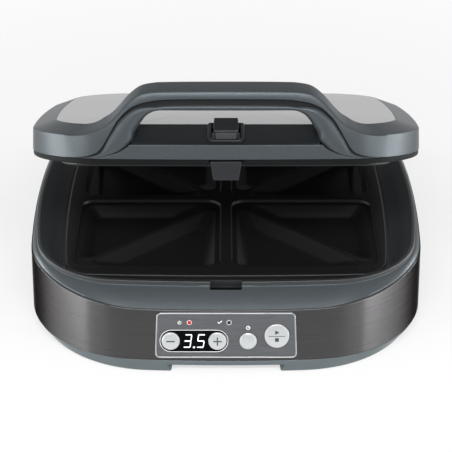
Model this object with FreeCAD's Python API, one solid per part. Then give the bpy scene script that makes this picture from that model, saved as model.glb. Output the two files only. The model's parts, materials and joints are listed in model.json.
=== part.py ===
import FreeCAD, Part
import math
import os

os.makedirs("parts", exist_ok=True)
V = FreeCAD.Vector

# Main sizes of the base, in millimetres, with the counter at z = 0
FOOT_PLASTIC_Z = 0.8
FLOOR_LOW = 5.4
FLOOR_TOP = 7.9
RING_TOP = 8.8
BAND_LOW = 9.4
BAND_SHEET = 1.5
FRONT_TILT_DEG = 15.0
VOLUME_TOP = 70.0
LIP_TOP = 69.0
LIP_FOOT = 65.0
LIP_WIDTH = 4.0
APRON_LOW = 42.0
SKIN = 3.0
DISH_Z = 63.8
WELL_Z = 61.5
PAN_WALL_IN = 3.5
UPSTAND_TOP = 16.0
FOOT_WIDTH = 24.0
CUT_OUT_FRONT = 46.0
CUT_OUT_REAR = 60.0
CUT_OUT_SIDE = 60.0
PAD_INSET = 12.5
FAR = 220.0

# Main sizes of the cooking plates
PLATE_TOP = 65.0
PLATE_GAP = 0.5
FLANGE = 4.0
POCKET_STEP = 3.0
POCKET_DEPTH = 12.0
POCKET_WALL = 3.0
POCKET_INNER = 5.0
POCKET_MARGIN_X = 14.0
POCKET_MARGIN_Y = 19.0
HEATER_R = 3.5
REFLECTOR_SHEET = 1.0
REFLECTOR_DROP = 27.0

# Main sizes of the lid, drawn closed and then turned open to its rest angle
RIM_LOW = PLATE_TOP + PLATE_GAP + FLANGE
RIM_TOP = RIM_LOW + 4.5
CREASE = RIM_LOW + 23.5
BEVEL_SLOPE = 0.35
HANDLE_DEPTH = 20.0
PANEL_EDGE = CREASE + BEVEL_SLOPE * HANDLE_DEPTH
PANEL_SEAT = PANEL_EDGE - 2.5
CROWN_RADIUS = 5000.0
CROWN_TOP = PANEL_EDGE + 2.4
LID_WALL = 2.8
PANEL_SHEET = 1.0
PANEL_LIP = 3.0
HANDLE_END_STEP = 36.0
HINGE_Z = 72.0
REST_OPEN_DEG = 18.1
HINGE_STEP = 80.0
BARREL_HALF = 9.0
BARREL_R = 6.0
PIN_R = 3.0
RUNNING_FIT = 0.05
SIDE_PLAY = 0.3

# Latch in the middle of the front edge
LATCH_SETBACK = 10.0
LATCH_Z = 80.0
LATCH_PIN_R = 1.9
SLOT_HALF = 13.5

# Plan outlines: half width, front and rear, then the radii of side, ends and corners.
# Each outline steps in or out from the one that it fits
BAND = dict(half_width=175.0, front=-190.0, rear=172.0, side=1400.0, front_r=1157.0,
            rear_r=1328.0, front_corner=102.0, rear_corner=78.0)
FOOT_STEP = 8.6
FOOT_REACH = 3.5
FOOT_REAR_STEP = 6.0
LIP_STEP = 2.5
LIP_SETBACK = 30.0
LIP_REAR_STEP = 12.0
APRON_SPREAD = 21.0
APRON_REACH = 32.0
APRON_REAR_REACH = 25.0
DISH_STEP = 14.0
DISH_END_STEP = 9.4
WELL_STEP = 25.5
WELL_END_STEP = 15.0
LID_STEP = 3.5
LID_REAR_STEP = 2.0
FOOT = dict(BAND, half_width=BAND["half_width"] - FOOT_STEP, front=BAND["front"] - FOOT_REACH,
            rear=BAND["rear"] - FOOT_REAR_STEP, front_corner=103.0)
LIP = dict(half_width=BAND["half_width"] - LIP_STEP, front=BAND["front"] + LIP_SETBACK,
           rear=BAND["rear"] - LIP_REAR_STEP, side=626.0, front_r=1328.0, rear_r=1328.0,
           front_corner=78.0, rear_corner=78.0)
APRON = dict(half_width=LIP["half_width"] + APRON_SPREAD, front=LIP["front"] - APRON_REACH,
             rear=LIP["rear"] + APRON_REAR_REACH, side=650.0, front_r=1360.0, rear_r=1360.0,
             front_corner=120.0, rear_corner=105.0)
DISH = dict(half_width=LIP["half_width"] - DISH_STEP, front=LIP["front"] + DISH_END_STEP,
            rear=LIP["rear"] - DISH_END_STEP, side=900.0, front_r=1700.0, rear_r=1700.0,
            front_corner=52.0, rear_corner=52.0)
WELL = dict(half_width=LIP["half_width"] - WELL_STEP, front=LIP["front"] + WELL_END_STEP,
            rear=LIP["rear"] - WELL_END_STEP, side=1300.0, front_r=2500.0, rear_r=2500.0,
            front_corner=28.0, rear_corner=28.0)
LID = dict(LIP, half_width=LIP["half_width"] - LID_STEP, rear=LIP["rear"] - LID_REAR_STEP,
           side=1384.0, front_corner=68.0, rear_corner=76.0)
POCKET_X = WELL["half_width"] - POCKET_MARGIN_X
POCKET_Y = WELL["rear"] - POCKET_MARGIN_Y
HINGE_SETBACK = 8.0
HINGE_X = BAND["half_width"] - HINGE_STEP
HINGE_Y = LIP["rear"] + HINGE_SETBACK
HANDLE_END_X = LID["half_width"] - HANDLE_END_STEP
LATCH_Y = LID["front"] + LATCH_SETBACK
PLATE_CLEARANCE = 2.4
POCKET_PLAY = 0.4
POCKET_ROUND = 12.0


# Plan outlines made of eight tangent arcs
def corner_centre(side_x, side_r, end_y, end_r, sign):
    span = math.hypot(side_x, end_y)
    along = (side_r ** 2 - end_r ** 2 + span ** 2) / (2.0 * span)
    across = math.sqrt(side_r ** 2 - along ** 2)
    ux = -side_x / span
    uy = end_y / span
    px = side_x + along * ux
    py = along * uy
    choices = [(px - across * uy, py + across * ux), (px + across * uy, py - across * ux)]
    for x, y in choices:
        if x > 0 and y * sign > 0:
            return x, y
    raise ValueError("no corner centre")


def corner_data(form, end):
    side_x = form["half_width"] - form["side"]
    if end == "front":
        end_y = form["front"] + form["front_r"]
        corner = form["front_corner"]
        end_r = form["front_r"]
        sign = -1
    else:
        end_y = form["rear"] - form["rear_r"]
        corner = form["rear_corner"]
        end_r = form["rear_r"]
        sign = 1
    cx, cy = corner_centre(side_x, form["side"] - corner, end_y, end_r - corner, sign)
    side_len = math.hypot(cx - side_x, cy)
    end_len = math.hypot(cx, cy - end_y)
    to_side = ((cx - side_x) / side_len, cy / side_len)
    to_end = (cx / end_len, (cy - end_y) / end_len)
    return (cx, cy), corner, to_side, to_end


def corner_point(form, end, inset):
    (cx, cy), corner, to_side, to_end = corner_data(form, end)
    mx = to_side[0] + to_end[0]
    my = to_side[1] + to_end[1]
    length = math.hypot(mx, my)
    return cx + (corner - inset) * mx / length, cy + (corner - inset) * my / length


def outline(form, z, inset=0.0):
    edges = []
    points = {}
    for end in ("front", "rear"):
        (cx, cy), corner, to_side, to_end = corner_data(form, end)
        reach = corner - inset
        points[end] = ((cx + reach * to_end[0], cy + reach * to_end[1]),
                       corner_point(form, end, inset),
                       (cx + reach * to_side[0], cy + reach * to_side[1]))

    def arc(a, b, c):
        edges.append(Part.Arc(V(a[0], a[1], z), V(b[0], b[1], z), V(c[0], c[1], z)).toShape())

    def left(p):
        return -p[0], p[1]

    f_end, f_mid, f_side = points["front"]
    r_end, r_mid, r_side = points["rear"]
    wide = form["half_width"] - inset
    arc(left(f_end), (0.0, form["front"] + inset), f_end)
    arc(f_end, f_mid, f_side)
    arc(f_side, (wide, 0.0), r_side)
    arc(r_side, r_mid, r_end)
    arc(r_end, (0.0, form["rear"] - inset), left(r_end))
    arc(left(r_end), left(r_mid), left(r_side))
    arc(left(r_side), (-wide, 0.0), left(f_side))
    arc(left(f_side), left(f_mid), left(f_end))
    return Part.Wire(edges)


def front_y(form, x):
    (cx, cy), corner, to_side, to_end = corner_data(form, "front")
    x = abs(x)
    if x <= cx + corner * to_end[0]:
        return form["front"] + form["front_r"] - math.sqrt(form["front_r"] ** 2 - x ** 2)
    return cy - math.sqrt(corner ** 2 - (x - cx) ** 2)


# Simple solids
def slab(form, low, high, inset=0.0):
    return Part.Face(outline(form, low, inset)).extrude(V(0, 0, high - low))


def loft(wires):
    return Part.makeLoft(wires, True, True)


def box(x0, x1, y0, y1, z0, z1):
    return Part.makeBox(x1 - x0, y1 - y0, z1 - z0, V(x0, y0, z0))


def rod(radius, start, end):
    axis = V(*end) - V(*start)
    return Part.makeCylinder(radius, axis.Length, V(*start), axis)


def fuse(shapes):
    whole = shapes[0]
    for shape in shapes[1:]:
        whole = whole.fuse(shape)
    return whole.removeSplitter()


def cut(shape, tools):
    for tool in tools:
        shape = shape.cut(tool)
    return shape


def group(shapes):
    return Part.makeCompound(shapes)


def side_plate(points, half_x, x_mid=0.0):
    wire = Part.makePolygon([V(x_mid - half_x, y, z) for y, z in points + points[:1]])
    return Part.Face(wire).extrude(V(2.0 * half_x, 0, 0))


def rounded_wire(points, radius, z):
    count = len(points)
    edges = []
    starts = []
    ends = []
    mids = []
    for i in range(count):
        p = V(points[i][0], points[i][1], z)
        a = V(points[i - 1][0], points[i - 1][1], z) - p
        b = V(points[(i + 1) % count][0], points[(i + 1) % count][1], z) - p
        a.normalize()
        b.normalize()
        half = math.acos(max(-1.0, min(1.0, a.dot(b)))) / 2.0
        reach = radius / math.tan(half)
        middle = a + b
        middle.normalize()
        centre = p + middle * (radius / math.sin(half))
        starts.append(p + a * reach)
        ends.append(p + b * reach)
        mids.append(centre - middle * radius)
    for i in range(count):
        edges.append(Part.Arc(starts[i], mids[i], ends[i]).toShape())
        edges.append(Part.makeLine(ends[i], starts[(i + 1) % count]))
    return Part.Wire(edges)


def inset_points(points, amount):
    count = len(points)
    area = sum(points[i - 1][0] * points[i][1] - points[i][0] * points[i - 1][1] for i in range(count))
    turn = 1.0 if area > 0 else -1.0
    moved = []
    for i in range(count):
        p = points[i]
        q = points[(i + 1) % count]
        length = math.hypot(q[0] - p[0], q[1] - p[1])
        nx = -turn * (q[1] - p[1]) / length
        ny = turn * (q[0] - p[0]) / length
        moved.append((p[0] + nx * amount, p[1] + ny * amount, (q[0] - p[0]) / length,
                      (q[1] - p[1]) / length))
    result = []
    for i in range(count):
        ax, ay, adx, ady = moved[i - 1]
        bx, by, bdx, bdy = moved[i]
        cross = adx * bdy - ady * bdx
        t = ((bx - ax) * bdy - (by - ay) * bdx) / cross
        result.append((ax + adx * t, ay + ady * t))
    return result


def rounded_slab(points, radius, low, high):
    return Part.Face(rounded_wire(points, radius, low)).extrude(V(0, 0, high - low))


def screw(x, y, low, high, shank_r, head_r, head_h, up=True):
    if up:
        return rod(shank_r, (x, y, low), (x, y, high)).fuse(rod(head_r, (x, y, low), (x, y, low + head_h)))
    return rod(shank_r, (x, y, low), (x, y, high)).fuse(rod(head_r, (x, y, high - head_h), (x, y, high)))


def pocket_points(sx, sy):
    return [(sx * POCKET_INNER, sy * POCKET_INNER), (sx * POCKET_X, sy * POCKET_INNER),
            (sx * POCKET_X, sy * POCKET_Y), (sx * POCKET_INNER, sy * POCKET_Y)]


def pocket_rooms(low, high):
    rooms = []
    for sx in (-1, 1):
        for sy in (-1, 1):
            square = inset_points(pocket_points(sx, sy), -POCKET_WALL - POCKET_PLAY)
            rooms.append(rounded_slab(square, POCKET_ROUND + 2.0, low, high))
    return rooms


parts = {}

# Walls of the base: upright sides and a front that leans back
TILT = math.tan(math.radians(FRONT_TILT_DEG))
BAND_HIGH = dict(BAND, front=BAND["front"] + TILT * (VOLUME_TOP - BAND_LOW))
volumes = {}
for inset in (0.0, BAND_SHEET, PAN_WALL_IN, BAND_SHEET + SKIN):
    volumes[inset] = loft([outline(BAND, BAND_LOW, inset), outline(BAND_HIGH, VOLUME_TOP, inset)])

# Front control panel, drawn flat: x across, y up the slope, z outward
PANEL_LOW = 2.8
PANEL_HIGH = 42.5
PANEL_HALF_LOW = 60.0
PANEL_HALF_HIGH = 58.3
PANEL_ROUND = 4.0
TRIM_WIDTH = 1.2
FASCIA_FRONT = 0.5
FASCIA_BACK = -1.5
BOARD_FRONT = -7.4
BOARD_BACK = -9.0
BUTTON_PLAY = 0.35
BUTTON_TRAVEL = 1.0
PANEL_PLACE = FreeCAD.Placement(V(0, BAND["front"], BAND_LOW),
                                FreeCAD.Rotation(V(1, 0, 0), 90.0 - FRONT_TILT_DEG))
BUTTONS = {"minus_button": (-46.6, 17.8, 7.6), "plus_button": (-7.2, 17.8, 7.6),
           "extra_button": (18.6, 17.8, 7.2), "start_button": (42.8, 22.4, 10.4)}
LAMPS = {"power_lamp": (-30.8, 34.0), "ready_lamp": (2.6, 34.0)}
LAMP_R = 2.1
LAMP_DOME_R = 3.0
LAMP_RISE = 0.8
DISPLAY_X = -26.95
DISPLAY_Y = 17.8
DISPLAY_HALF = 28.0
DISPLAY_R = 9.3
DISPLAY_LINE = 0.7


def on_panel(shape):
    moved = shape.copy()
    moved.Placement = PANEL_PLACE
    return moved


def trapezoid(inset, low, high):
    points = [(-PANEL_HALF_LOW, PANEL_LOW), (PANEL_HALF_LOW, PANEL_LOW),
              (PANEL_HALF_HIGH, PANEL_HIGH), (-PANEL_HALF_HIGH, PANEL_HIGH)]
    return rounded_slab(inset_points(points, inset), PANEL_ROUND - inset, low, high)


def pill(grow, low, high):
    radius = DISPLAY_R + grow
    reach = DISPLAY_HALF - DISPLAY_R
    left_x = DISPLAY_X - reach
    right_x = DISPLAY_X + reach
    ends = [rod(radius, (x, DISPLAY_Y, low), (x, DISPLAY_Y, high)) for x in (left_x, right_x)]
    middle = box(left_x, right_x, DISPLAY_Y - radius, DISPLAY_Y + radius, low, high)
    return fuse([middle] + ends)


button_holes = [rod(r + BUTTON_PLAY, (x, y, -3), (x, y, 3)) for x, y, r in BUTTONS.values()]
lamp_holes = [rod(LAMP_R, (x, y, -3), (x, y, 3)) for x, y in LAMPS.values()]
panel_window = on_panel(trapezoid(0.0, -8.0, 6.0))
parts["panel_trim"] = on_panel(trapezoid(0.0, -4.5, 1.0).cut(trapezoid(TRIM_WIDTH, -5.0, 2.0)))

posts = []
post_holes = []
board_screws = []
POST_X = 54.0
POST_R = 2.6
POST_SCREW_R = 1.0
POST_SCREW_HEAD_R = 2.0
POST_SCREW_HEAD = 1.4
POST_SCREW_TIP = -3.0
for px, py in ((-POST_X, 8.0), (POST_X, 8.0), (-POST_X, 35.0), (POST_X, 35.0)):
    posts.append(rod(POST_R, (px, py, BOARD_FRONT), (px, py, FASCIA_BACK)))
    post_holes.append(rod(POST_SCREW_R, (px, py, BOARD_BACK - 1), (px, py, POST_SCREW_TIP)))
    shank = rod(POST_SCREW_R, (px, py, BOARD_BACK), (px, py, POST_SCREW_TIP))
    head = rod(POST_SCREW_HEAD_R, (px, py, BOARD_BACK - POST_SCREW_HEAD), (px, py, BOARD_BACK))
    board_screws.append(shank.fuse(head))
fascia = fuse([trapezoid(TRIM_WIDTH, FASCIA_BACK, FASCIA_FRONT)] + posts)
fascia = cut(fascia, button_holes + lamp_holes + post_holes + [pill(DISPLAY_LINE, -3.0, 3.0)])
parts["panel_fascia"] = on_panel(fascia)
ring = pill(DISPLAY_LINE, FASCIA_BACK, FASCIA_FRONT + 0.2).cut(pill(0.0, -3.0, 3.0))
parts["display_ring"] = on_panel(ring)
window = cut(pill(0.0, FASCIA_BACK, FASCIA_FRONT + 0.1), button_holes)
parts["display_window"] = on_panel(window)
DIGIT_X0 = -37.6
DIGIT_X1 = -16.2
module = box(DIGIT_X0, DIGIT_X1, DISPLAY_Y - 8.0, DISPLAY_Y + 8.0, BOARD_FRONT, FASCIA_BACK)
parts["display_module"] = on_panel(module)
board = box(-POST_X - 3.0, POST_X + 3.0, 4.6, 38.4, BOARD_BACK, BOARD_FRONT)
parts["control_board"] = on_panel(cut(board, post_holes))
parts["board_screws"] = on_panel(group(board_screws))
for name, (lx, ly) in LAMPS.items():
    lens = rod(LAMP_R, (lx, ly, BOARD_FRONT), (lx, ly, FASCIA_FRONT))
    dome = Part.makeSphere(LAMP_DOME_R, V(lx, ly, FASCIA_FRONT + LAMP_RISE - LAMP_DOME_R))
    cap = rod(LAMP_R, (lx, ly, FASCIA_FRONT), (lx, ly, FASCIA_FRONT + 2.0)).common(dome)
    parts[name] = on_panel(lens.fuse(cap).removeSplitter())
switches = []
FLANGE_FRONT = FASCIA_BACK - 0.1
FLANGE_BACK = FLANGE_FRONT - 1.2
STEM_BACK = -4.4
STEM_R = 2.2
SWITCH_HALF = 3.0
SWITCH_FRONT = BOARD_FRONT + 1.4
PLUNGER_R = 1.6
CAP_TOP = 2.4
for name, (bx, by, br) in BUTTONS.items():
    cap = rod(br, (bx, by, FLANGE_BACK), (bx, by, CAP_TOP + 0.2))
    crown = Part.makeSphere(br * 4.0, V(bx, by, CAP_TOP - br * 4.0))
    rim = Part.makeCone(br + 4.0, br - 0.6, 4.6, V(bx, by, -2.4), V(0, 0, 1))
    cap = cap.common(crown).common(rim.fuse(rod(br + 1, (bx, by, -4), (bx, by, -2.4))))
    flange = rod(br + 1.1, (bx, by, FLANGE_BACK), (bx, by, FLANGE_FRONT))
    stem = rod(STEM_R, (bx, by, STEM_BACK), (bx, by, FLANGE_BACK))
    parts[name] = on_panel(fuse([cap, flange, stem]))
    case = box(bx - SWITCH_HALF, bx + SWITCH_HALF, by - SWITCH_HALF, by + SWITCH_HALF, BOARD_FRONT,
               SWITCH_FRONT)
    plunger = rod(PLUNGER_R, (bx, by, SWITCH_FRONT), (bx, by, STEM_BACK - BUTTON_TRAVEL - 0.1))
    switches.append(case.fuse(plunger))
parts["key_switches"] = on_panel(group(switches))

# Rear hinge housing and the hinge itself
COVER_HALF = BAND["half_width"] - 55.0
COVER_FRONT = LIP["rear"] + 1.0
COVER_REAR = COVER_FRONT + 27.0
COVER_TOP = 62.0
COVER_WALL = 2.5
GLAND_X = 72.0
GLAND_Z = 26.0
GLAND_R = 6.0
GLAND_FLANGE = 4.6
GLAND_BODY = 5.0
GLAND_BORE_R = 3.6
EAR = 4.0
BRACKET_LOW = 50.0
BRACKET_FOOT = 3.0
BRACKET_HALF = 7.0
SHELF_LOW = 42.0
LEAF_LENGTH = 18.0
LEAF_TOP = RIM_TOP + 3.6
ARM_SCREW_Y = LID["rear"] - 11.0
COVER_ROUND = 14.0
COVER_CROWN = 6.0
HINGE_SCREW_R = 1.6
bracket_in = BARREL_HALF + SIDE_PLAY
bracket_out = bracket_in + EAR


def housing(shrink):
    front = COVER_FRONT if shrink == 0 else COVER_FRONT - 5
    low = BAND_LOW + shrink
    half = COVER_HALF - shrink
    solid = box(-half, half, front, COVER_REAR - shrink, low, COVER_TOP - shrink)
    uprights = [e for e in solid.Edges if abs(e.Vertexes[0].Y - COVER_REAR + shrink) < 0.01
                and abs(e.Vertexes[1].Y - COVER_REAR + shrink) < 0.01
                and abs(e.Vertexes[0].X - e.Vertexes[1].X) < 0.01]
    solid = solid.makeFillet(COVER_ROUND - shrink, uprights)
    crown = [e for e in solid.Edges if e.BoundBox.ZMin > COVER_TOP - shrink - 0.01
             and e.BoundBox.YMax > COVER_FRONT + 1 and e.BoundBox.YLength > 0.0]
    rear_crown = [e for e in solid.Edges if e.BoundBox.ZMin > COVER_TOP - shrink - 0.01
                  and e.BoundBox.YMin > COVER_REAR - shrink - 0.01]
    return solid.makeFillet(COVER_CROWN - shrink, crown + rear_crown)


cover = housing(0.0).cut(housing(COVER_WALL))
brackets = []
pins = []
bracket_screws = []
arms = []
arm_screws = []
for side in (-1, 1):
    mid = side * HINGE_X
    shelf = box(mid - bracket_out, mid + bracket_out, HINGE_Y - 4.0, COVER_REAR - 1.0, SHELF_LOW, BRACKET_LOW)
    cover = cover.fuse(shelf)
    cover = cover.cut(box(mid - bracket_out - 0.2, mid + bracket_out + 0.2, HINGE_Y - 10.0, HINGE_Y + 8.5,
                          BRACKET_LOW + 5.0, COVER_TOP + 8.0))
    bracket_hole = rod(HINGE_SCREW_R, (mid, HINGE_Y, SHELF_LOW + 2.0), (mid, HINGE_Y, COVER_TOP - 2.0))
    cover = cover.cut(bracket_hole)
    ears = []
    for start in (mid - bracket_out, mid + bracket_in):
        upright = box(start, start + EAR, HINGE_Y - BRACKET_HALF, HINGE_Y + BRACKET_HALF, BRACKET_LOW,
                      HINGE_Z)
        eye = rod(BRACKET_HALF, (start, HINGE_Y, HINGE_Z), (start + EAR, HINGE_Y, HINGE_Z))
        ears.append(upright.fuse(eye))
    foot = box(mid - bracket_out, mid + bracket_out, HINGE_Y - BRACKET_HALF, HINGE_Y + BRACKET_HALF,
               BRACKET_LOW, BRACKET_LOW + BRACKET_FOOT)
    bracket = fuse(ears + [foot])
    bracket = bracket.cut(rod(PIN_R, (mid - 20, HINGE_Y, HINGE_Z), (mid + 20, HINGE_Y, HINGE_Z)))
    brackets.append(bracket.cut(bracket_hole))
    pin_half = bracket_out + 1.0
    pins.append(rod(PIN_R, (mid - pin_half, HINGE_Y, HINGE_Z), (mid + pin_half, HINGE_Y, HINGE_Z)))
    bracket_screws.append(screw(mid, HINGE_Y, SHELF_LOW + 2.0, BRACKET_LOW + BRACKET_FOOT + 2.2, HINGE_SCREW_R,
                                3.2, 2.2, False))
    barrel = rod(BARREL_R, (mid - BARREL_HALF, HINGE_Y, HINGE_Z), (mid + BARREL_HALF, HINGE_Y, HINGE_Z))
    neck = box(mid - BARREL_HALF, mid + BARREL_HALF, LID["rear"] + 0.4, HINGE_Y, RIM_LOW + 0.5, LEAF_TOP)
    leaf = box(mid - BARREL_HALF, mid + BARREL_HALF, LID["rear"] - LEAF_LENGTH, LID["rear"] + 2.0, RIM_TOP,
               LEAF_TOP)
    arm = fuse([barrel, neck, leaf])
    arm = arm.cut(rod(PIN_R + RUNNING_FIT, (mid - 20, HINGE_Y, HINGE_Z), (mid + 20, HINGE_Y, HINGE_Z)))
    arm = arm.cut(rod(HINGE_SCREW_R, (mid, ARM_SCREW_Y, RIM_LOW - 10.0),
                      (mid, ARM_SCREW_Y, LEAF_TOP + 10.0)))
    arms.append(arm)
    arm_screws.append(screw(mid, ARM_SCREW_Y, RIM_LOW + 0.3, RIM_TOP + 5.0, HINGE_SCREW_R, 3.0, 1.8))
cover = cover.cut(rod(GLAND_R, (GLAND_X, COVER_REAR - 8.0, GLAND_Z), (GLAND_X, COVER_REAR + 7.0, GLAND_Z)))
parts["rear_cover"] = cover.removeSplitter()
parts["hinge_brackets"] = group(brackets)
parts["hinge_pins"] = group(pins)
parts["bracket_screws"] = group(bracket_screws)

# Base pan with its four corner feet
pan = loft([outline(FOOT, FOOT_PLASTIC_Z), outline(BAND, RING_TOP, 0.6)])
neck = slab(BAND, RING_TOP, BAND_LOW, 1.0)
pan_wall = volumes[BAND_SHEET].cut(volumes[PAN_WALL_IN])
upstand = pan_wall.common(box(-FAR, FAR, -FAR, FAR, BAND_LOW, UPSTAND_TOP))
upstand = upstand.cut(box(-COVER_HALF - 0.5, COVER_HALF + 0.5, BAND["rear"] - 32.0, FAR, 0, 40))
upstand = upstand.cut(panel_window)
pan = fuse([pan, neck, upstand])
hollow = slab(BAND, FLOOR_TOP, UPSTAND_TOP + 14.0, PAN_WALL_IN + 0.1)
pan = pan.cut(hollow.cut(pan_wall))
pan = pan.cut(slab(BAND, -1.0, FLOOR_LOW, FOOT_WIDTH))
pan = pan.cut(box(-CUT_OUT_FRONT, CUT_OUT_FRONT, -FAR, BAND["front"] + 70.0, -1, FLOOR_LOW))
pan = pan.cut(box(-CUT_OUT_REAR, CUT_OUT_REAR, BAND["rear"] - 52.0, FAR, -1, FLOOR_LOW))
pan = pan.cut(box(-FAR, FAR, -CUT_OUT_SIDE, CUT_OUT_SIDE, -1, FLOOR_LOW))
FOOT_R = 8.0
FOOT_TALL = 2.4
feet = []
for end in ("front", "rear"):
    fx, fy = corner_point(FOOT, end, PAD_INSET)
    for side in (-1, 1):
        feet.append(rod(FOOT_R, (side * fx, fy, 0), (side * fx, fy, FOOT_TALL)))
pan = cut(pan, [foot.copy() for foot in feet])
parts["rubber_feet"] = group(feet)
BOSS_X = BAND["half_width"] - 15.0
BOSS_Y = 70.0
BOSS_SPLIT = 40.0
BOSS_TOP = 60.5
BOSS_R = 5.0
SCREW_TOP = 54.0
SCREW_R = 2.0
SCREW_HEAD_R = 3.5
SCREW_HEAD = 2.4
boss_places = [(sx * BOSS_X, sy * BOSS_Y) for sx in (-1, 1) for sy in (-1, 1)]
pan_bosses = [rod(BOSS_R, (x, y, FLOOR_LOW), (x, y, BOSS_SPLIT)) for x, y in boss_places]
pan = fuse([pan] + pan_bosses)
base_screws = []
for x, y in boss_places:
    pan = cut(pan, [rod(SCREW_R + 0.1, (x, y, 0), (x, y, BOSS_SPLIT + 10.0)),
                    rod(SCREW_HEAD_R + 0.1, (x, y, 0), (x, y, FLOOR_TOP))])
    base_screws.append(screw(x, y, FLOOR_TOP - SCREW_HEAD, SCREW_TOP, SCREW_R, SCREW_HEAD_R, SCREW_HEAD))
parts["base_screws"] = group(base_screws)

# Power parts on the floor of the pan
BOARD_SEAT = 12.0
BOARD_TOP = BOARD_SEAT + 1.6
pads = [rod(3.0, (x, y, FLOOR_TOP), (x, y, BOARD_SEAT)) for x in (-48, 48) for y in (-100, -50)]
pan = fuse([pan] + pads)
parts["base_pan"] = pan
parts["power_board"] = box(-55, 55, -106, -44, BOARD_SEAT, BOARD_TOP)
parts["power_relay"] = box(-40, -18, -90, -74, BOARD_TOP, BOARD_TOP + 16.4)
parts["transformer"] = box(10, 38, -92, -66, BOARD_TOP, BOARD_TOP + 17.4)
parts["terminal_block"] = box(48, 96, 100, 116, FLOOR_TOP, FLOOR_TOP + 14.1)

# Brushed metal band round the sides and front
apron = loft([outline(APRON, APRON_LOW), outline(LIP, LIP_FOOT)])
band = volumes[0.0].cut(volumes[BAND_SHEET])
low_part = band.common(box(-FAR, FAR, -FAR, FAR, 0, APRON_LOW))
high_part = band.common(apron)
band = fuse([low_part, high_part])
band = band.cut(box(-COVER_HALF, COVER_HALF, BAND["rear"] - 72.0, FAR, 0, 100))
parts["side_band"] = band.cut(panel_window)

# Top frame: sloping apron, narrow lip, dished surround and the seat of the plate
frame = apron.fuse(slab(LIP, LIP_FOOT, LIP_TOP)).common(volumes[BAND_SHEET])
dish = loft([outline(WELL, WELL_Z), outline(DISH, DISH_Z), outline(LIP, LIP_TOP, LIP_WIDTH)])
lower_skin = apron.copy()
lower_skin.translate(V(0, 0, -SKIN - 0.2))
dish_low = dish.copy()
dish_low.translate(V(0, 0, -SKIN))
SEAT = PLATE_TOP - FLANGE
SEAT_LOW = SEAT - 4.5
room = lower_skin.common(volumes[BAND_SHEET + SKIN])
room = room.cut(slab(WELL, 30, SEAT + 0.5, -SKIN)).cut(dish_low)
frame = cut(frame, [dish, slab(WELL, SEAT, SEAT + 2.0), slab(WELL, 30, SEAT, 6.0),
                    slab(WELL, 30, SEAT_LOW), room] + pocket_rooms(30, SEAT))
frame = frame.cut(box(-COVER_HALF - 0.2, COVER_HALF + 0.2, COVER_FRONT - 0.2, FAR, 0, 100))
room_half = PANEL_HALF_LOW + 4.0
panel_room = box(-room_half, room_half, -3.0, PANEL_HIGH + 0.1, -24.0, FASCIA_BACK + 0.1)
frame = frame.cut(on_panel(panel_room))
frame = frame.cut(panel_window)
SLOT_FRONT = LIP["front"] - 3.2
SLOT_REAR = LIP["front"] + 5.0
CATCH_Z = 60.0
frame = frame.cut(box(-SLOT_HALF, SLOT_HALF, SLOT_FRONT, SLOT_REAR, 45.0, VOLUME_TOP + 5.0))
frame_bosses = [rod(BOSS_R, (x, y, BOSS_SPLIT), (x, y, BOSS_TOP + 2)) for x, y in boss_places]
frame = fuse([frame] + frame_bosses)
frame = cut(frame, [rod(SCREW_R, (x, y, BOSS_SPLIT - 10.0), (x, y, SCREW_TOP)) for x, y in boss_places])
block_x = SLOT_HALF + 5.5
catch_blocks = [box(sx * block_x - 4.0, sx * block_x + 4.0, SLOT_REAR - 1.0, SLOT_REAR + 7.1, CATCH_Z - 3.0,
                    CATCH_Z) for sx in (-1, 1)]
frame = fuse([frame] + catch_blocks)
parts["top_frame"] = frame

# Steel catch under the slot in the front of the top frame
catch = box(-SLOT_HALF - 8.5, SLOT_HALF + 8.5, SLOT_REAR - 0.2, SLOT_REAR + 6.0, CATCH_Z, CATCH_Z + 1.4)
catch = catch.cut(slab(WELL, 50, 70, -SKIN))
parts["latch_catch"] = catch.cut(frame)

# Cooking plates, one drawn here and its mirror image for the lid
RIDGE_HALF = 2.0
CUP_MARGIN = 3.0
CUP_SLOPE = 9.0
CUP_ROUND = 6.5
CUP_WALL_ROUND = 9.0
PLATE_BOSS_R = 4.5
PLATE_SCREW_R = 1.6
PLATE_BOSSES = ((-70.0, 0.0), (70.0, 0.0), (0.0, -66.0), (0.0, 66.0))
HEATER_Z = PLATE_TOP - POCKET_DEPTH - POCKET_WALL - HEATER_R
HEATER_X = POCKET_X - 38.0
HEATER_Y = POCKET_Y - 41.0
TRAY_Z = PLATE_TOP - REFLECTOR_DROP
TRAY_INSET = HANDLE_DEPTH + 1.5
TAB_IN = 30.0
TAB_OUT = 54.0
TAB_HALF = 14.0
TAB_SHEET = 1.4


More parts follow.
